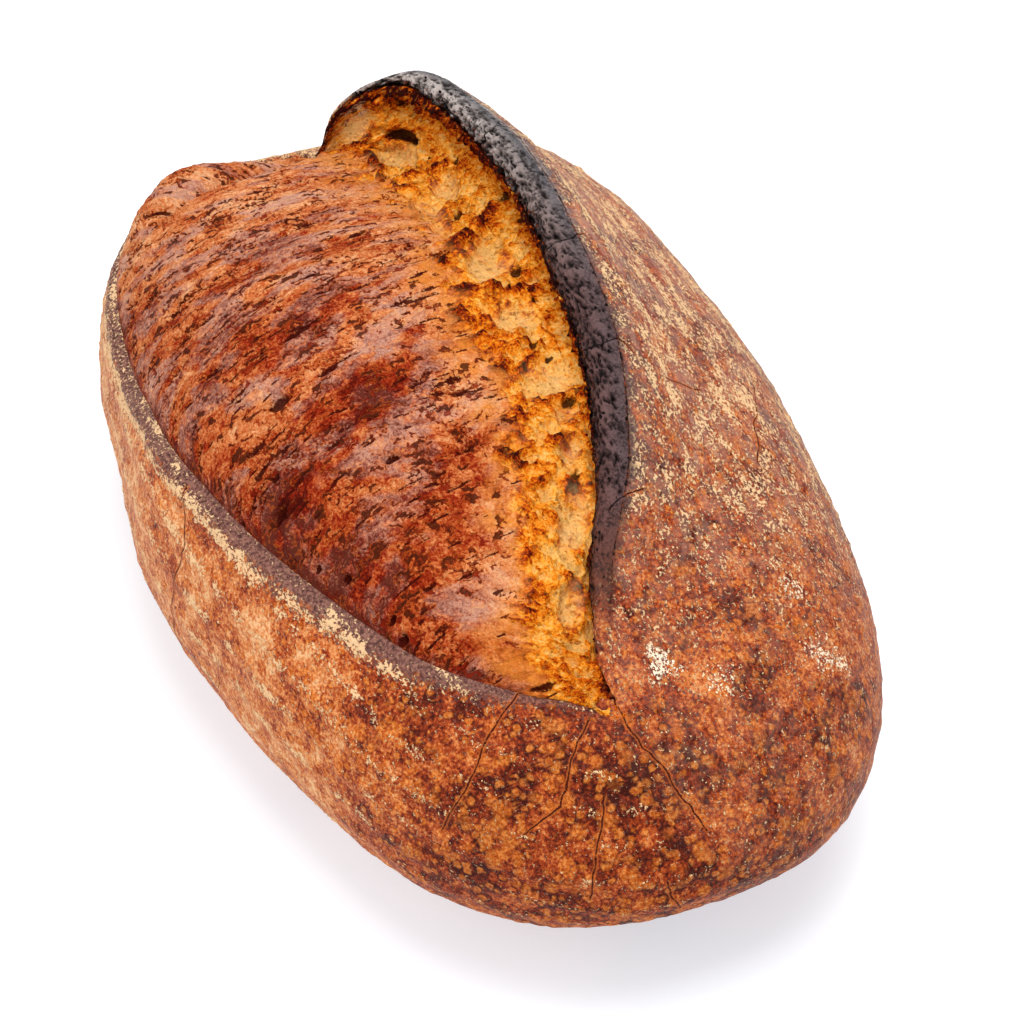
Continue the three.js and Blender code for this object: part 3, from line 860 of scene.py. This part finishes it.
def skin_tones(at, skin):
    """How browned the skin is and where it has its dull film: in patches, darker in the middle, darker toward
    the ledge as painted shade of the ledge, and golden toward the near end."""
    smudge = np.zeros(len(at.x))
    for spot_x, spot_below, reach, amount in SMUDGES:
        past = at.x - spot_x - at.lean * (spot_below - at.below)
        away = np.hypot(past, 0.45 * (at.below - spot_below)) / (0.8 * reach) + at.bent
        smudge += amount * np.exp(-away ** 2)
    middle = smooth_step(at.x, -100, -50) * smooth_step(at.x, 95, 55)
    by_ledge = smooth_step(at.across + 2.5 * skin.fibres, 4.5, 1.5) * smooth_step(at.x, 100, 70)
    golden_end = smooth_step(at.x, 15, 70) * smooth_step(at.across, 12, 32)
    dull = clouds(at.flow, (9, 17, 1), 4, 12) + 0.9 * smudge + 0.1 * middle - 0.1 * skin.edge
    haze = np.maximum(smooth_step(dull, 0.0, 0.26) * (1 - at.warm), by_ledge) * at.skin
    haze *= 1 - 0.5 * golden_end * (1 - by_ledge)
    toast = 0.37 + 0.2 * clouds(at.flow, (14, 22, 1), 3, 13) - 0.1 * skin.folds + 0.9 * smudge + 0.08 * middle
    # Painted shade of the ledge: darker over the 30 mm beside it on the far half, darkest in the groove at
    # its foot
    toast += 0.2 * smooth_step(at.across, 30, 4) * smooth_step(at.x, -80, 10)
    toast += 0.3 * smooth_step(at.across, 5, 1)
    toast -= 0.1 * smooth_step(at.x, -80, -115)
    toast -= 0.12 * at.warm + 0.1 * golden_end + 0.05 * smooth_step(at.across, 50, 75)
    return toast, haze


def crumb_tone(at, crumb):
    """How browned the crumb is: at its border, its crests and thin walls, and most toward the lip, with
    painted shade round the rims of the hollows.
    """
    gold = 0.42 + 0.24 * smooth_step(at.into, 10, -1) + crumb.burnt
    gold += 0.4 * crumb.crest - 0.2 * crumb.hollow * (1 - crumb.crest) - 0.06 * smooth_step(at.x, 30, 60)
    gold += 0.3 * crumb.scorched + (0.42 + 0.8 * crumb.threads) * crumb.black
    # Painted shade: a darker ring round the rim of each hollow, where its edge would shade it
    hollow_rim_shade = np.exp(-((crumb.hollow - 0.3) / 0.15) ** 2)
    gold += 0.28 * hollow_rim_shade * smooth_step(crumb.ragged, -0.2, 0.3)
    return np.clip(gold, 0, 1.1)


def make_bloom():
    at = sheet_places(bloom_grid())
    skin = skin_relief(at)
    crumb = crumb_relief(at)
    height = 0.8 * clouds(at.flat, 30, 2, 8)
    height += 1.2 * smooth_step(at.x, -92, -104) * smooth_step(at.share, 0.3, 0.8)
    height += at.skin * skin.height
    height += at.crumb * crumb.height

    # Nothing of it reaches down to the crust behind it
    deep = wall_sunk(at.x)
    toward_lip = BLOOM_SUNK + (deep - BLOOM_SUNK) * at.share
    room = np.where(at.share < 1, toward_lip, deep * (1 - (at.share - 1) ** 2))
    height = np.maximum(height, -0.85 * room)
    crowd = at.area * (at.share > 0.02) * (at.share < 0.95) * (0.3 + skin.torn_here) * at.skin
    pit = tear_skin(at, crowd, skin.fibres, height)

    # The sheet's borders stay tucked under the ledge and behind the lip
    shut = 1 - openness(at.x)
    border = smooth_step(at.across, 0.5, 4) * smooth_step(at.share, 2.0, 1.9)
    moved = at.flat + at.normal * (height * border - 1.3 * shut)[:, None]
    moved[:, 1] -= MIDDLE_Y

    toast, haze = skin_tones(at, skin)
    piece, row, column = start_from_sheet("bloom", BLOOM_ROWS, BLOOM_COLUMNS)
    index = row * BLOOM_COLUMNS + column
    set_points(piece, moved[index])
    # The material paints the creases at the plates' edges and the holes dark as shade, and the pits deep red
    # darkened by painted shade
    add_attributes(piece, index, {
        "toast": toast, "gold": crumb_tone(at, crumb), "haze": haze, "pit": pit, "crumb": at.crumb,
        "warm": at.warm, "hollow": crumb.hollow * at.crumb * (1 - crumb.scorched),
        "hole": crumb.hole * at.crumb, "crease": skin.edge * at.skin, "flow": at.flow})
    close_underside(piece)
    return piece


def close_underside(piece):
    """Draws the sheet's rim in under the crust and down to a flat bottom in the loaf, and fills it."""
    bpy.context.view_layer.objects.active = piece
    bpy.ops.object.mode_set(mode="EDIT")
    bpy.ops.mesh.select_mode(type="EDGE")
    bpy.ops.mesh.select_all(action="DESELECT")
    bpy.ops.mesh.select_non_manifold()
    for step_y, step_z in RIM_STEPS:
        bpy.ops.mesh.extrude_region_move(TRANSFORM_OT_translate={"value": (0, step_y * MM, step_z * MM)})
    bpy.ops.transform.resize(value=(1, 1, 0), center_override=(0, 0, BOTTOM * MM))
    bpy.ops.mesh.edge_face_add()
    bpy.ops.object.mode_set(mode="OBJECT")


def srgb(code, alpha=1.0):
    """A colour written as an sRGB hex value, turned to linear."""
    channels = [int(code[i:i + 2], 16) / 255 for i in (1, 3, 5)]
    linear = [c / 12.92 if c <= 0.04045 else ((c + 0.055) / 1.055) ** 2.4 for c in channels]
    return (*linear, alpha)


def add_node(tree, kind, inputs=None, stops=None, output=0, **settings):
    """Adds a node with its settings, its inputs' values or links and a ramp's stops; gives one output."""
    node = tree.nodes.new(kind)
    for name, value in settings.items():
        setattr(node, name, value)
    for name, value in (inputs or {}).items():
        if isinstance(value, bpy.types.NodeSocket):
            tree.links.new(value, node.inputs[name])
        else:
            node.inputs[name].default_value = value
    if stops:
        ramp = node.color_ramp
        while len(ramp.elements) < len(stops):
            ramp.elements.new(0.5)
        for element, (position, code) in zip(ramp.elements, stops):
            element.position = position
            element.color = srgb(code)
    return node.outputs[output] if node.outputs else node


def new_material(name):
    material = bpy.data.materials.new(name)
    material.use_nodes = True
    material.node_tree.nodes.clear()
    return material, material.node_tree


def bloom_material():
    """Torn dough baked hard: matt, mottled from pale crumb through gold to purple-brown skin with slits."""
    material, tree = new_material("torn baked dough")
    values = {
        name: add_node(tree, "ShaderNodeAttribute", output="Fac", attribute_name=name)
        for name in ("toast", "gold", "haze", "pit", "crumb", "warm", "hollow", "hole", "crease")}
    flow = add_node(tree, "ShaderNodeAttribute", output="Vector", attribute_name="flow")
    place = add_node(tree, "ShaderNodeTexCoord", output="Object")

    # The streaks are bent by a wandering of about 1 mm, so that no fibre runs straight
    wander = add_node(
        tree, "ShaderNodeTexNoise", {"Vector": place, "Scale": 1 / (2.6 * MM), "Detail": 2.0},
        output="Color")
    wander = add_node(tree, "ShaderNodeVectorMath", {0: wander, 1: (0.5, 0.5, 0.5)}, operation="SUBTRACT")
    flow = add_node(
        tree, "ShaderNodeVectorMath", {0: wander, 1: (6.0, 6.0, 0.0), 2: flow}, operation="MULTIPLY_ADD")

    # Noises about zero: fibres of 0.6 mm by 1.3 mm, which are finer in real dough but wouldn't show, flakes
    # of 1.7 mm by 3.6 mm, swaths of 3.4 mm by 8 mm, grains of 0.75 mm and patches of 5 mm
    for name, source, size, seed in (
        ("fibres", flow, (0.6, 1.3, 1), 0.0), ("flakes", flow, (1.7, 3.6, 1), 40.0),
        ("swaths", flow, (3.4, 8.0, 1), 70.0),
        ("grains", place, (0.75 * MM,) * 3, 0.0), ("patches", place, (5 * MM,) * 3, 9.0),
    ):
        scaled = add_node(tree, "ShaderNodeMapping", {
            "Vector": source, "Scale": [1 / s for s in size], "Location": (seed, seed, seed)})
        texture = add_node(tree, "ShaderNodeTexNoise", {
            "Vector": scaled, "Scale": 1.0, "Detail": 2.5, "Roughness": 0.65}, output="Fac")
        values[name] = add_node(tree, "ShaderNodeMath", {0: texture, 1: 0.5}, operation="SUBTRACT")

    # Spots about 2.4 mm by 5.6 mm, drawn out along the streaks, for slits torn in the skin, and round ones
    # of 1.5 mm for pores of the crumb, each spot with a random value
    scaled = add_node(tree, "ShaderNodeMapping", {"Vector": flow, "Scale": (1 / 2.4, 1 / 5.6, 1)})
    values["slit_spot"] = add_node(
        tree, "ShaderNodeTexVoronoi", {"Vector": scaled, "Scale": 1.0}, voronoi_dimensions="2D")
    values["pore_spot"] = add_node(tree, "ShaderNodeTexVoronoi", {"Vector": place, "Scale": 1 / (1.5 * MM)})
    for name, spot in (("slit_chance", "slit_spot"), ("pore_chance", "pore_spot")):
        values[name] = add_node(tree, "ShaderNodeSeparateColor", {0: values[spot].node.outputs["Color"]})

    # Sums: each starts from a value or a number, and amounts of other values are added to it
    for name, start, parts in (
        ("tear", -0.08, (
            ("slit_chance", 0.46), ("grains", 0.6), ("swaths", 1.1), ("warm", -0.12), ("slit_spot", -1.0))),
        ("creased", "crease", (("grains", 1.2),)),
        ("pitted", "pit", (("grains", 1.0),)),
        ("holed", "hole", (("grains", 1.0),)),
        ("browned", "toast", (
            ("fibres", -0.6), ("flakes", 0.7), ("grains", 0.9), ("patches", 0.3), ("swaths", 1.0))),
        ("golden", "gold", (("fibres", 0.9), ("flakes", 0.6), ("grains", 0.8), ("patches", 0.4))),
        ("floors", "flakes", (("patches", 0.8),)),
        ("porous", 0.0, (("pore_chance", 0.4), ("grains", 0.5), ("pore_spot", -1.0))),
    ):
        total = values.get(start, start)
        for part, amount in parts:
            total = add_node(
                tree, "ShaderNodeMath", {0: values[part], 1: amount, 2: total}, operation="MULTIPLY_ADD")
        values[name] = total

    # Shares: none where a value is at the first number, and as much as the third where it is at the second
    # Among these, the lit edges beside slits and the pale fibres are painted highlights, and the deepest part
    # of slits and creases is painted shade
    for name, value, low, high, top in (
        ("slit", "tear", -0.015, 0.035, 1.0), ("slit_edge_highlight", "tear", -0.14, -0.02, 0.45),
        ("deep_slit", "tear", 0.03, 0.16, 1.0), ("creased", "creased", 0.5, 0.7, 1.0),
        ("pitted", "pitted", 0.42, 0.62, 1.0), ("holed", "holed", 0.3, 0.6, 1.0),
        ("film_here", "flakes", -0.2, 0.06, 0.88), ("fibre_highlight", "fibres", 0.12, 0.24, 0.42),
        ("warm_here", "patches", -0.2, 0.1, 0.7), ("pale_here", "floors", -0.2, 0.16, 0.6),
        ("pore", "porous", -0.04, 0.06, 0.6),
    ):
        values[name] = add_node(tree, "ShaderNodeMapRange", {
            "Value": values[value], "From Min": low, "From Max": high, "To Max": top})

    # Two values, or a value and a number, put together
    for name, operation, first, second in (
        ("slit", "MAXIMUM", "slit", "creased"), ("slit_red_and_shade", "MULTIPLY", "slit", 0.88),
        ("filmed", "MULTIPLY", "haze", "film_here"), ("warmed", "MULTIPLY", "warm", "warm_here"),
        ("pale_floor", "MULTIPLY", "hollow", "pale_here"), ("pit_red_and_shade", "MULTIPLY", "pitted", 0.95),
        ("hole_shade", "MULTIPLY", "holed", 0.9), ("pore_in_crumb", "MULTIPLY", "pore", "crumb"),
    ):
        values[name] = add_node(
            tree, "ShaderNodeMath", {0: values[first], 1: values.get(second, second)}, operation=operation)

    # The crumb: pale cream to gold and rust, with paler floors in the bubbles and pores darkened as painted
    # shade
    crumb = add_node(tree, "ShaderNodeValToRGB", {"Fac": values["golden"]}, stops=[
        (0.0, "#dba65a"), (0.18, "#f3bb68"), (0.38, "#ee9d34"), (0.56, "#e07c10"), (0.72, "#bb4a04"),
        (0.86, "#7a1e02"), (1.0, "#2e0804")])
    for share, over in (("pale_floor", "#e3b67c"), ("pore", "#9c5a1c")):
        crumb = add_node(
            tree, "ShaderNodeMix", {0: values[share], 6: crumb, 7: srgb(over)}, output=2, data_type="RGBA")

    # The skin: tan to red-brown, with a dull purple film where it stayed smooth, lightened in part by a
    # painted sheen; pale single fibres as painted highlights; orange dough beside each slit as a painted
    # highlight of the flap's lit edge; a warm edge toward the crumb; and slits and the plates' creased edges
    # that turn from deep red to black, the red their own and the black painted shade. Over it lie the crumb,
    # the pits in deep red darkened by painted shade, and the holes painted dark as shade
    colour = add_node(tree, "ShaderNodeValToRGB", {"Fac": values["browned"]}, stops=[
        (0.05, "#dfa073"), (0.25, "#d0804d"), (0.42, "#bc6232"), (0.56, "#9f3b16"), (0.7, "#821c04"),
        (0.86, "#540c01")])
    # The film's pale pinkish tones are partly a painted sheen on its smooth surface
    film = add_node(tree, "ShaderNodeValToRGB", {"Fac": values["browned"]}, stops=[
        (0.3, "#ba8877"), (0.52, "#996757"), (0.78, "#5e2619")])
    slit_red_to_shade = add_node(
        tree, "ShaderNodeMix", {0: values["deep_slit"], 6: srgb("#7c1c07"), 7: srgb("#2c0502")},
        output=2, data_type="RGBA")
    for share, over in (
        ("filmed", film), ("fibre_highlight", srgb("#dc9468")), ("slit_edge_highlight", srgb("#cc6524")),
        ("warmed", srgb("#d9822f")), ("slit_red_and_shade", slit_red_to_shade), ("crumb", crumb),
        ("pit_red_and_shade", srgb("#400902")), ("hole_shade", srgb("#2c0b04")),
    ):
        colour = add_node(
            tree, "ShaderNodeMix", {0: values[share], 6: colour, 7: over}, output=2, data_type="RGBA")

    relief = values["grains"]
    for part, amount in (("fibres", 1.2), ("flakes", 0.8), ("slit", -0.5), ("pore_in_crumb", -0.5)):
        relief = add_node(
            tree, "ShaderNodeMath", {0: values[part], 1: amount, 2: relief}, operation="MULTIPLY_ADD")
    bump = add_node(tree, "ShaderNodeBump", {"Strength": 1.0, "Distance": 0.6 * MM, "Height": relief})
    rough = add_node(tree, "ShaderNodeMapRange", {
        "Value": values["haze"], "To Min": 0.75, "To Max": 0.5})
    surface = add_node(tree, "ShaderNodeBsdfPrincipled", {
        "Base Color": colour, "Roughness": rough, "Specular IOR Level": 0.05, "Normal": bump})
    add_node(tree, "ShaderNodeOutputMaterial", {"Surface": surface})
    return material


def crust_material():
    """Baked crust: tan to red-brown, with amber blisters, specks of flour and soot, and a charred lip."""
    material, tree = new_material("baked crust")
    values = {
        name: add_node(tree, "ShaderNodeAttribute", output="Fac", attribute_name=name)
        for name in (
            "toast", "flour", "heap", "dust", "char", "soot", "ash", "lip_share", "blister", "pitted",
            "torn", "band", "crack", "crack_near")}
    place = add_node(tree, "ShaderNodeTexCoord", output="Object")

    # Noises about zero, with their size in mm and how much longer they are along the loaf. Real flour and
    # soot are finer, and are drawn as coarse as they need to show
    for name, size, long, seed in (
        ("grains", 0.8, 1.0, 0.0), ("patches", 4.0, 1.0, 0.0), ("flour_specks", 0.75, 1.2, 0.3),
        ("soot_specks", 0.9, 1.6, 0.6), ("dust_clouds", 2.4, 2.0, 0.9),
    ):
        scaled = add_node(tree, "ShaderNodeMapping", {
            "Vector": place, "Scale": (1 / long, 1, 1), "Location": (seed, seed, seed)})
        texture = add_node(tree, "ShaderNodeTexNoise", {
            "Vector": scaled, "Scale": 1 / (size * MM), "Detail": 2.5, "Roughness": 0.65}, output="Fac")
        values[name] = add_node(tree, "ShaderNodeMath", {0: texture, 1: 0.5}, operation="SUBTRACT")

    # Uneven cells, each with a random value: small blisters of 2.2 mm, and pits of 1.25 mm in the lip
    wander = add_node(tree, "ShaderNodeTexNoise", {
        "Vector": place, "Scale": 1 / (1.8 * MM), "Detail": 2.0}, output="Color")
    wander = add_node(tree, "ShaderNodeVectorMath", {0: wander, 1: (0.5, 0.5, 0.5)}, operation="SUBTRACT")
    warped = add_node(
        tree, "ShaderNodeVectorMath", {0: wander, 1: (1.6 * MM,) * 3, 2: place}, operation="MULTIPLY_ADD")
    for name, size, long in (("blister", 2.2, 1.0), ("pit", 1.25, 2.0)):
        drawn_out = add_node(tree, "ShaderNodeMapping", {"Vector": warped, "Scale": (1 / long, 1, 1)})
        cell = add_node(tree, "ShaderNodeTexVoronoi", {"Vector": drawn_out, "Scale": 1 / (size * MM)})
        values[name + "_cell"] = cell
        values[name + "_chance"] = add_node(tree, "ShaderNodeSeparateColor", {0: cell.node.outputs["Color"]})
    values["raised_here"] = add_node(
        tree, "ShaderNodeMath", {0: values["blister_chance"], 1: 0.6}, operation="GREATER_THAN")
    values["off_crack"] = add_node(tree, "ShaderNodeMath", {0: values["crack"]}, operation="ABSOLUTE")

    # Sums: each starts from a value or a number, and amounts of other values are added to it
    for name, start, parts in (
        ("browned", -0.11, (("toast", 1.0), ("grains", 1.2), ("patches", 0.9), ("blister_chance", 0.22))),
        ("glaze_tone", 0.5, (("grains", 2.0),)),
        ("film_tone", 0.5, (("grains", 2.6),)),
        ("ragged_tone", 0.5, (("grains", 1.6),)),
        ("sooty", "soot_specks", (("soot", 0.4),)),
        ("floury", "flour_specks", (("flour", 0.24),)),
        ("speckled", "grains", (("patches", 0.8),)),
        ("inner_edge", "lip_share", (("soot_specks", 0.9),)),
        ("pit_depth", 0.06, (("pit_chance", 0.45), ("lip_share", -0.34), ("pit_cell", -1.0))),
        ("off_crack", "off_crack", (("grains", 0.8),)),
    ):
        total = values.get(start, start)
        for part, amount in parts:
            total = add_node(
                tree, "ShaderNodeMath", {0: values[part], 1: amount, 2: total}, operation="MULTIPLY_ADD")
        values[name] = total

    # Shares: none where a value is at the first number, and as much as the third where it is at the second
    for name, value, low, high, top in (
        ("dome", "blister_cell", 0.55, 0.35, 1.0), ("swollen", "blister", 0.3, 0.75, 1.0),
        ("dust_here", "dust_clouds", -0.14, 0.12, 0.85), ("sooty", "sooty", 0.14, 0.2, 0.8),
        ("floury", "floury", 0.12, 0.19, 1.0), ("outer", "lip_share", 0.5, 0.85, 1.0),
        ("blue", "ash", 0.0, 0.5, 0.8), ("speckled", "speckled", -0.01, 0.15, 0.75),
        ("inner_edge", "inner_edge", 0.3, 0.1, 0.97), ("ember", "grains", 0.02, 0.14, 1.0),
        ("pit_here", "pit_depth", -0.02, 0.04, 1.0), ("crack_edge", "off_crack", 0.75, 0.4, 0.55),
        ("uncharred", "char", 1.0, 0.0, 1.0), ("split", "off_crack", 0.22, 0.06, 1.0),
    ):
        values[name] = add_node(tree, "ShaderNodeMapRange", {
            "Value": values[value], "From Min": low, "From Max": high, "To Max": top})

    # Two values, or a value and a number, put together
    for name, operation, first, second in (
        ("raised", "MULTIPLY", "raised_here", "dome"), ("amber", "MAXIMUM", "raised", "swollen"),
        ("amber", "MULTIPLY", "amber", 0.66), ("veil", "MULTIPLY", "dust", "dust_here"),
        ("thick_flour", "MULTIPLY", "heap", 0.8), ("flour_over", "MULTIPLY", "floury", 0.85),
        ("outer", "MULTIPLY", "outer", "blue"), ("lip_pit", "MULTIPLY", "pit_here", "char"),
        ("lip_pit", "MAXIMUM", "lip_pit", "pitted"), ("crack_edge", "MULTIPLY", "crack_edge", "crack_near"),
        ("crack_edge", "MULTIPLY", "crack_edge", "uncharred"), ("split", "MULTIPLY", "split", "crack_near"),
    ):
        values[name] = add_node(
            tree, "ShaderNodeMath", {0: values[first], 1: values.get(second, second)}, operation=operation)

    # Tones: the crust itself, amber glaze on the blisters, the dull film of the band on the ledge, torn
    # crust behind the far end, and the lip's purple-grey char, which is paler toward the far end
    tones = {
        name: add_node(tree, "ShaderNodeValToRGB", {"Fac": values[tone]}, stops=stops)
        for name, tone, stops in (
            ("crust", "browned", [
                (0.05, "#e1ad7c"), (0.22, "#d2884f"), (0.4, "#ba622f"), (0.55, "#963a14"),
                (0.72, "#66200c"), (0.92, "#380c05")]),
            ("glaze", "glaze_tone", [(0.2, "#dd9149"), (0.5, "#cb6a1e"), (0.8, "#a3430f")]),
            ("film", "film_tone", [(0.2, "#8a5f52"), (0.55, "#6a443c"), (0.9, "#432724")]),
            ("ragged", "ragged_tone", [
                (0.25, "#e6aa7a"), (0.45, "#d08850"), (0.6, "#a8502a"), (0.8, "#6c2010")]),
            ("char", "ash", [(0.0, "#5f3529"), (0.2, "#5f4442"), (0.95, "#b5a9a3")]),
        )}
    for name, share, low, high in (
        ("flour", "thick_flour", "#e7bf90", "#fbecd2"), ("fringe", "ember", "#140706", "#8a3a12"),
        ("split", "char", "#480e05", "#120606"),
    ):
        tones[name] = add_node(
            tree, "ShaderNodeMix", {0: values[share], 6: srgb(low), 7: srgb(high)},
            output=2, data_type="RGBA")

    # The char is bluer toward the lip's outer edge, speckled, and burnt black and rust at its inner edge
    burnt = tones["char"]
    for share, over in (
        ("outer", srgb("#494a50")), ("speckled", srgb("#241a1b")), ("inner_edge", tones["fringe"]),
    ):
        burnt = add_node(
            tree, "ShaderNodeMix", {0: values[share], 6: burnt, 7: over}, output=2, data_type="RGBA")

    # The crust's layers: amber blisters, a thin veil of flour rubbed in, the band on the ledge, torn crust,
    # flecks of soot and of flour, the charred lip with its black pits, and cracks with orange edges
    colour = tones["crust"]
    for share, over in (
        ("amber", tones["glaze"]), ("veil", srgb("#9e7464")), ("band", tones["film"]),
        ("torn", tones["ragged"]), ("sooty", srgb("#5c3f3b")), ("flour_over", tones["flour"]),
        ("char", burnt), ("lip_pit", srgb("#080202")), ("crack_edge", srgb("#b25a24")),
        ("split", tones["split"]),
    ):
        colour = add_node(
            tree, "ShaderNodeMix", {0: values[share], 6: colour, 7: over}, output=2, data_type="RGBA")

    relief = values["grains"]
    for part, amount in (
        ("raised", 0.6), ("floury", 0.6), ("split", -1.5), ("lip_pit", -1.5), ("patches", 0.8),
    ):
        relief = add_node(
            tree, "ShaderNodeMath", {0: values[part], 1: amount, 2: relief}, operation="MULTIPLY_ADD")
    bump = add_node(tree, "ShaderNodeBump", {"Strength": 1.0, "Distance": 0.35 * MM, "Height": relief})
    rough = add_node(tree, "ShaderNodeMapRange", {"Value": values["floury"], "To Min": 0.5, "To Max": 0.9})
    surface = add_node(tree, "ShaderNodeBsdfPrincipled", {
        "Base Color": colour, "Roughness": rough, "Specular IOR Level": 0.08, "Normal": bump})
    add_node(tree, "ShaderNodeOutputMaterial", {"Surface": surface})
    return material


def finish_piece(piece, material):
    bpy.ops.object.select_all(action="DESELECT")
    piece.select_set(True)
    bpy.context.view_layer.objects.active = piece
    bpy.ops.object.shade_smooth()
    piece.data.materials.clear()
    piece.data.materials.append(material)
    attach(piece, "root")
    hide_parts("loaf")


# Camera, floor and light

# The camera, in mm, from fitting the outline, with its focal length in pixels of the picture
CAMERA_AIM = np.array([8.503, 6.715, 45.0])
CAMERA_AT = np.array([632.141, -301.197, 692.122])
FOCAL_PIXELS = 3825.7
IMAGE_SIDE = 1024
SENSOR = 36.0
# In metres: the floor, and each light's name, place and size, with its watts
FLOOR_SIZE = 6
FLOOR_GLOW = 0.57
WORLD_STRENGTH = 0.75
LIGHT_AIM = (0, 0, 0.05)
LIGHTS = [
    ("softbox_above", (0.15, 0.0, 1.2), 0.6, 10), ("softbox_left", (0.1, -1.1, 0.8), 0.9, 4),
    ("softbox_behind", (-0.8, 0.7, 0.8), 0.6, 3),
]


def add_camera():
    bpy.ops.object.camera_add(location=(CAMERA_AT * MM).tolist())
    camera = bpy.context.object
    camera.name = "photo_camera"
    direction = Vector((CAMERA_AIM - CAMERA_AT).tolist())
    camera.rotation_euler = direction.to_track_quat("-Z", "Y").to_euler()
    camera.data.sensor_width = SENSOR
    camera.data.lens = FOCAL_PIXELS * SENSOR / IMAGE_SIDE
    bpy.context.scene.camera = camera


def add_floor():
    bpy.ops.mesh.primitive_plane_add(size=FLOOR_SIZE, location=(0, 0, 0))
    floor = bpy.context.object
    floor.name = "floor"
    material, tree = new_material("lit white table")
    surface = add_node(tree, "ShaderNodeBsdfPrincipled", {
        "Base Color": srgb("#c4c4c4"), "Roughness": 0.9, "Specular IOR Level": 0.1,
        "Emission Color": srgb("#eef5ff"), "Emission Strength": FLOOR_GLOW})
    add_node(tree, "ShaderNodeOutputMaterial", {"Surface": surface})
    floor.data.materials.append(material)


def add_studio():
    world = bpy.data.worlds.new("white studio")
    world.use_nodes = True
    world.node_tree.nodes["Background"].inputs["Color"].default_value = (1, 1, 1, 1)
    world.node_tree.nodes["Background"].inputs["Strength"].default_value = WORLD_STRENGTH
    bpy.context.scene.world = world
    bpy.context.scene.view_settings.view_transform = "Standard"
    for name, at, size, watts in LIGHTS:
        bpy.ops.object.light_add(type="AREA", location=at)
        light = bpy.context.object
        light.name = name
        light.rotation_euler = (Vector(LIGHT_AIM) - Vector(at)).to_track_quat("-Z", "Y").to_euler()
        light.data.size = size
        light.data.energy = watts


crust, crust_points, crust_normals, settled_flour, heaped_flour = make_crust()
bloom = make_bloom()
flour = make_flour(crust_points, crust_normals, settled_flour, heaped_flour)
finish_piece(crust, crust_material())
finish_piece(bloom, bloom_material())
finish_piece(flour, flour_material())
add_camera()
add_floor()
add_studio()
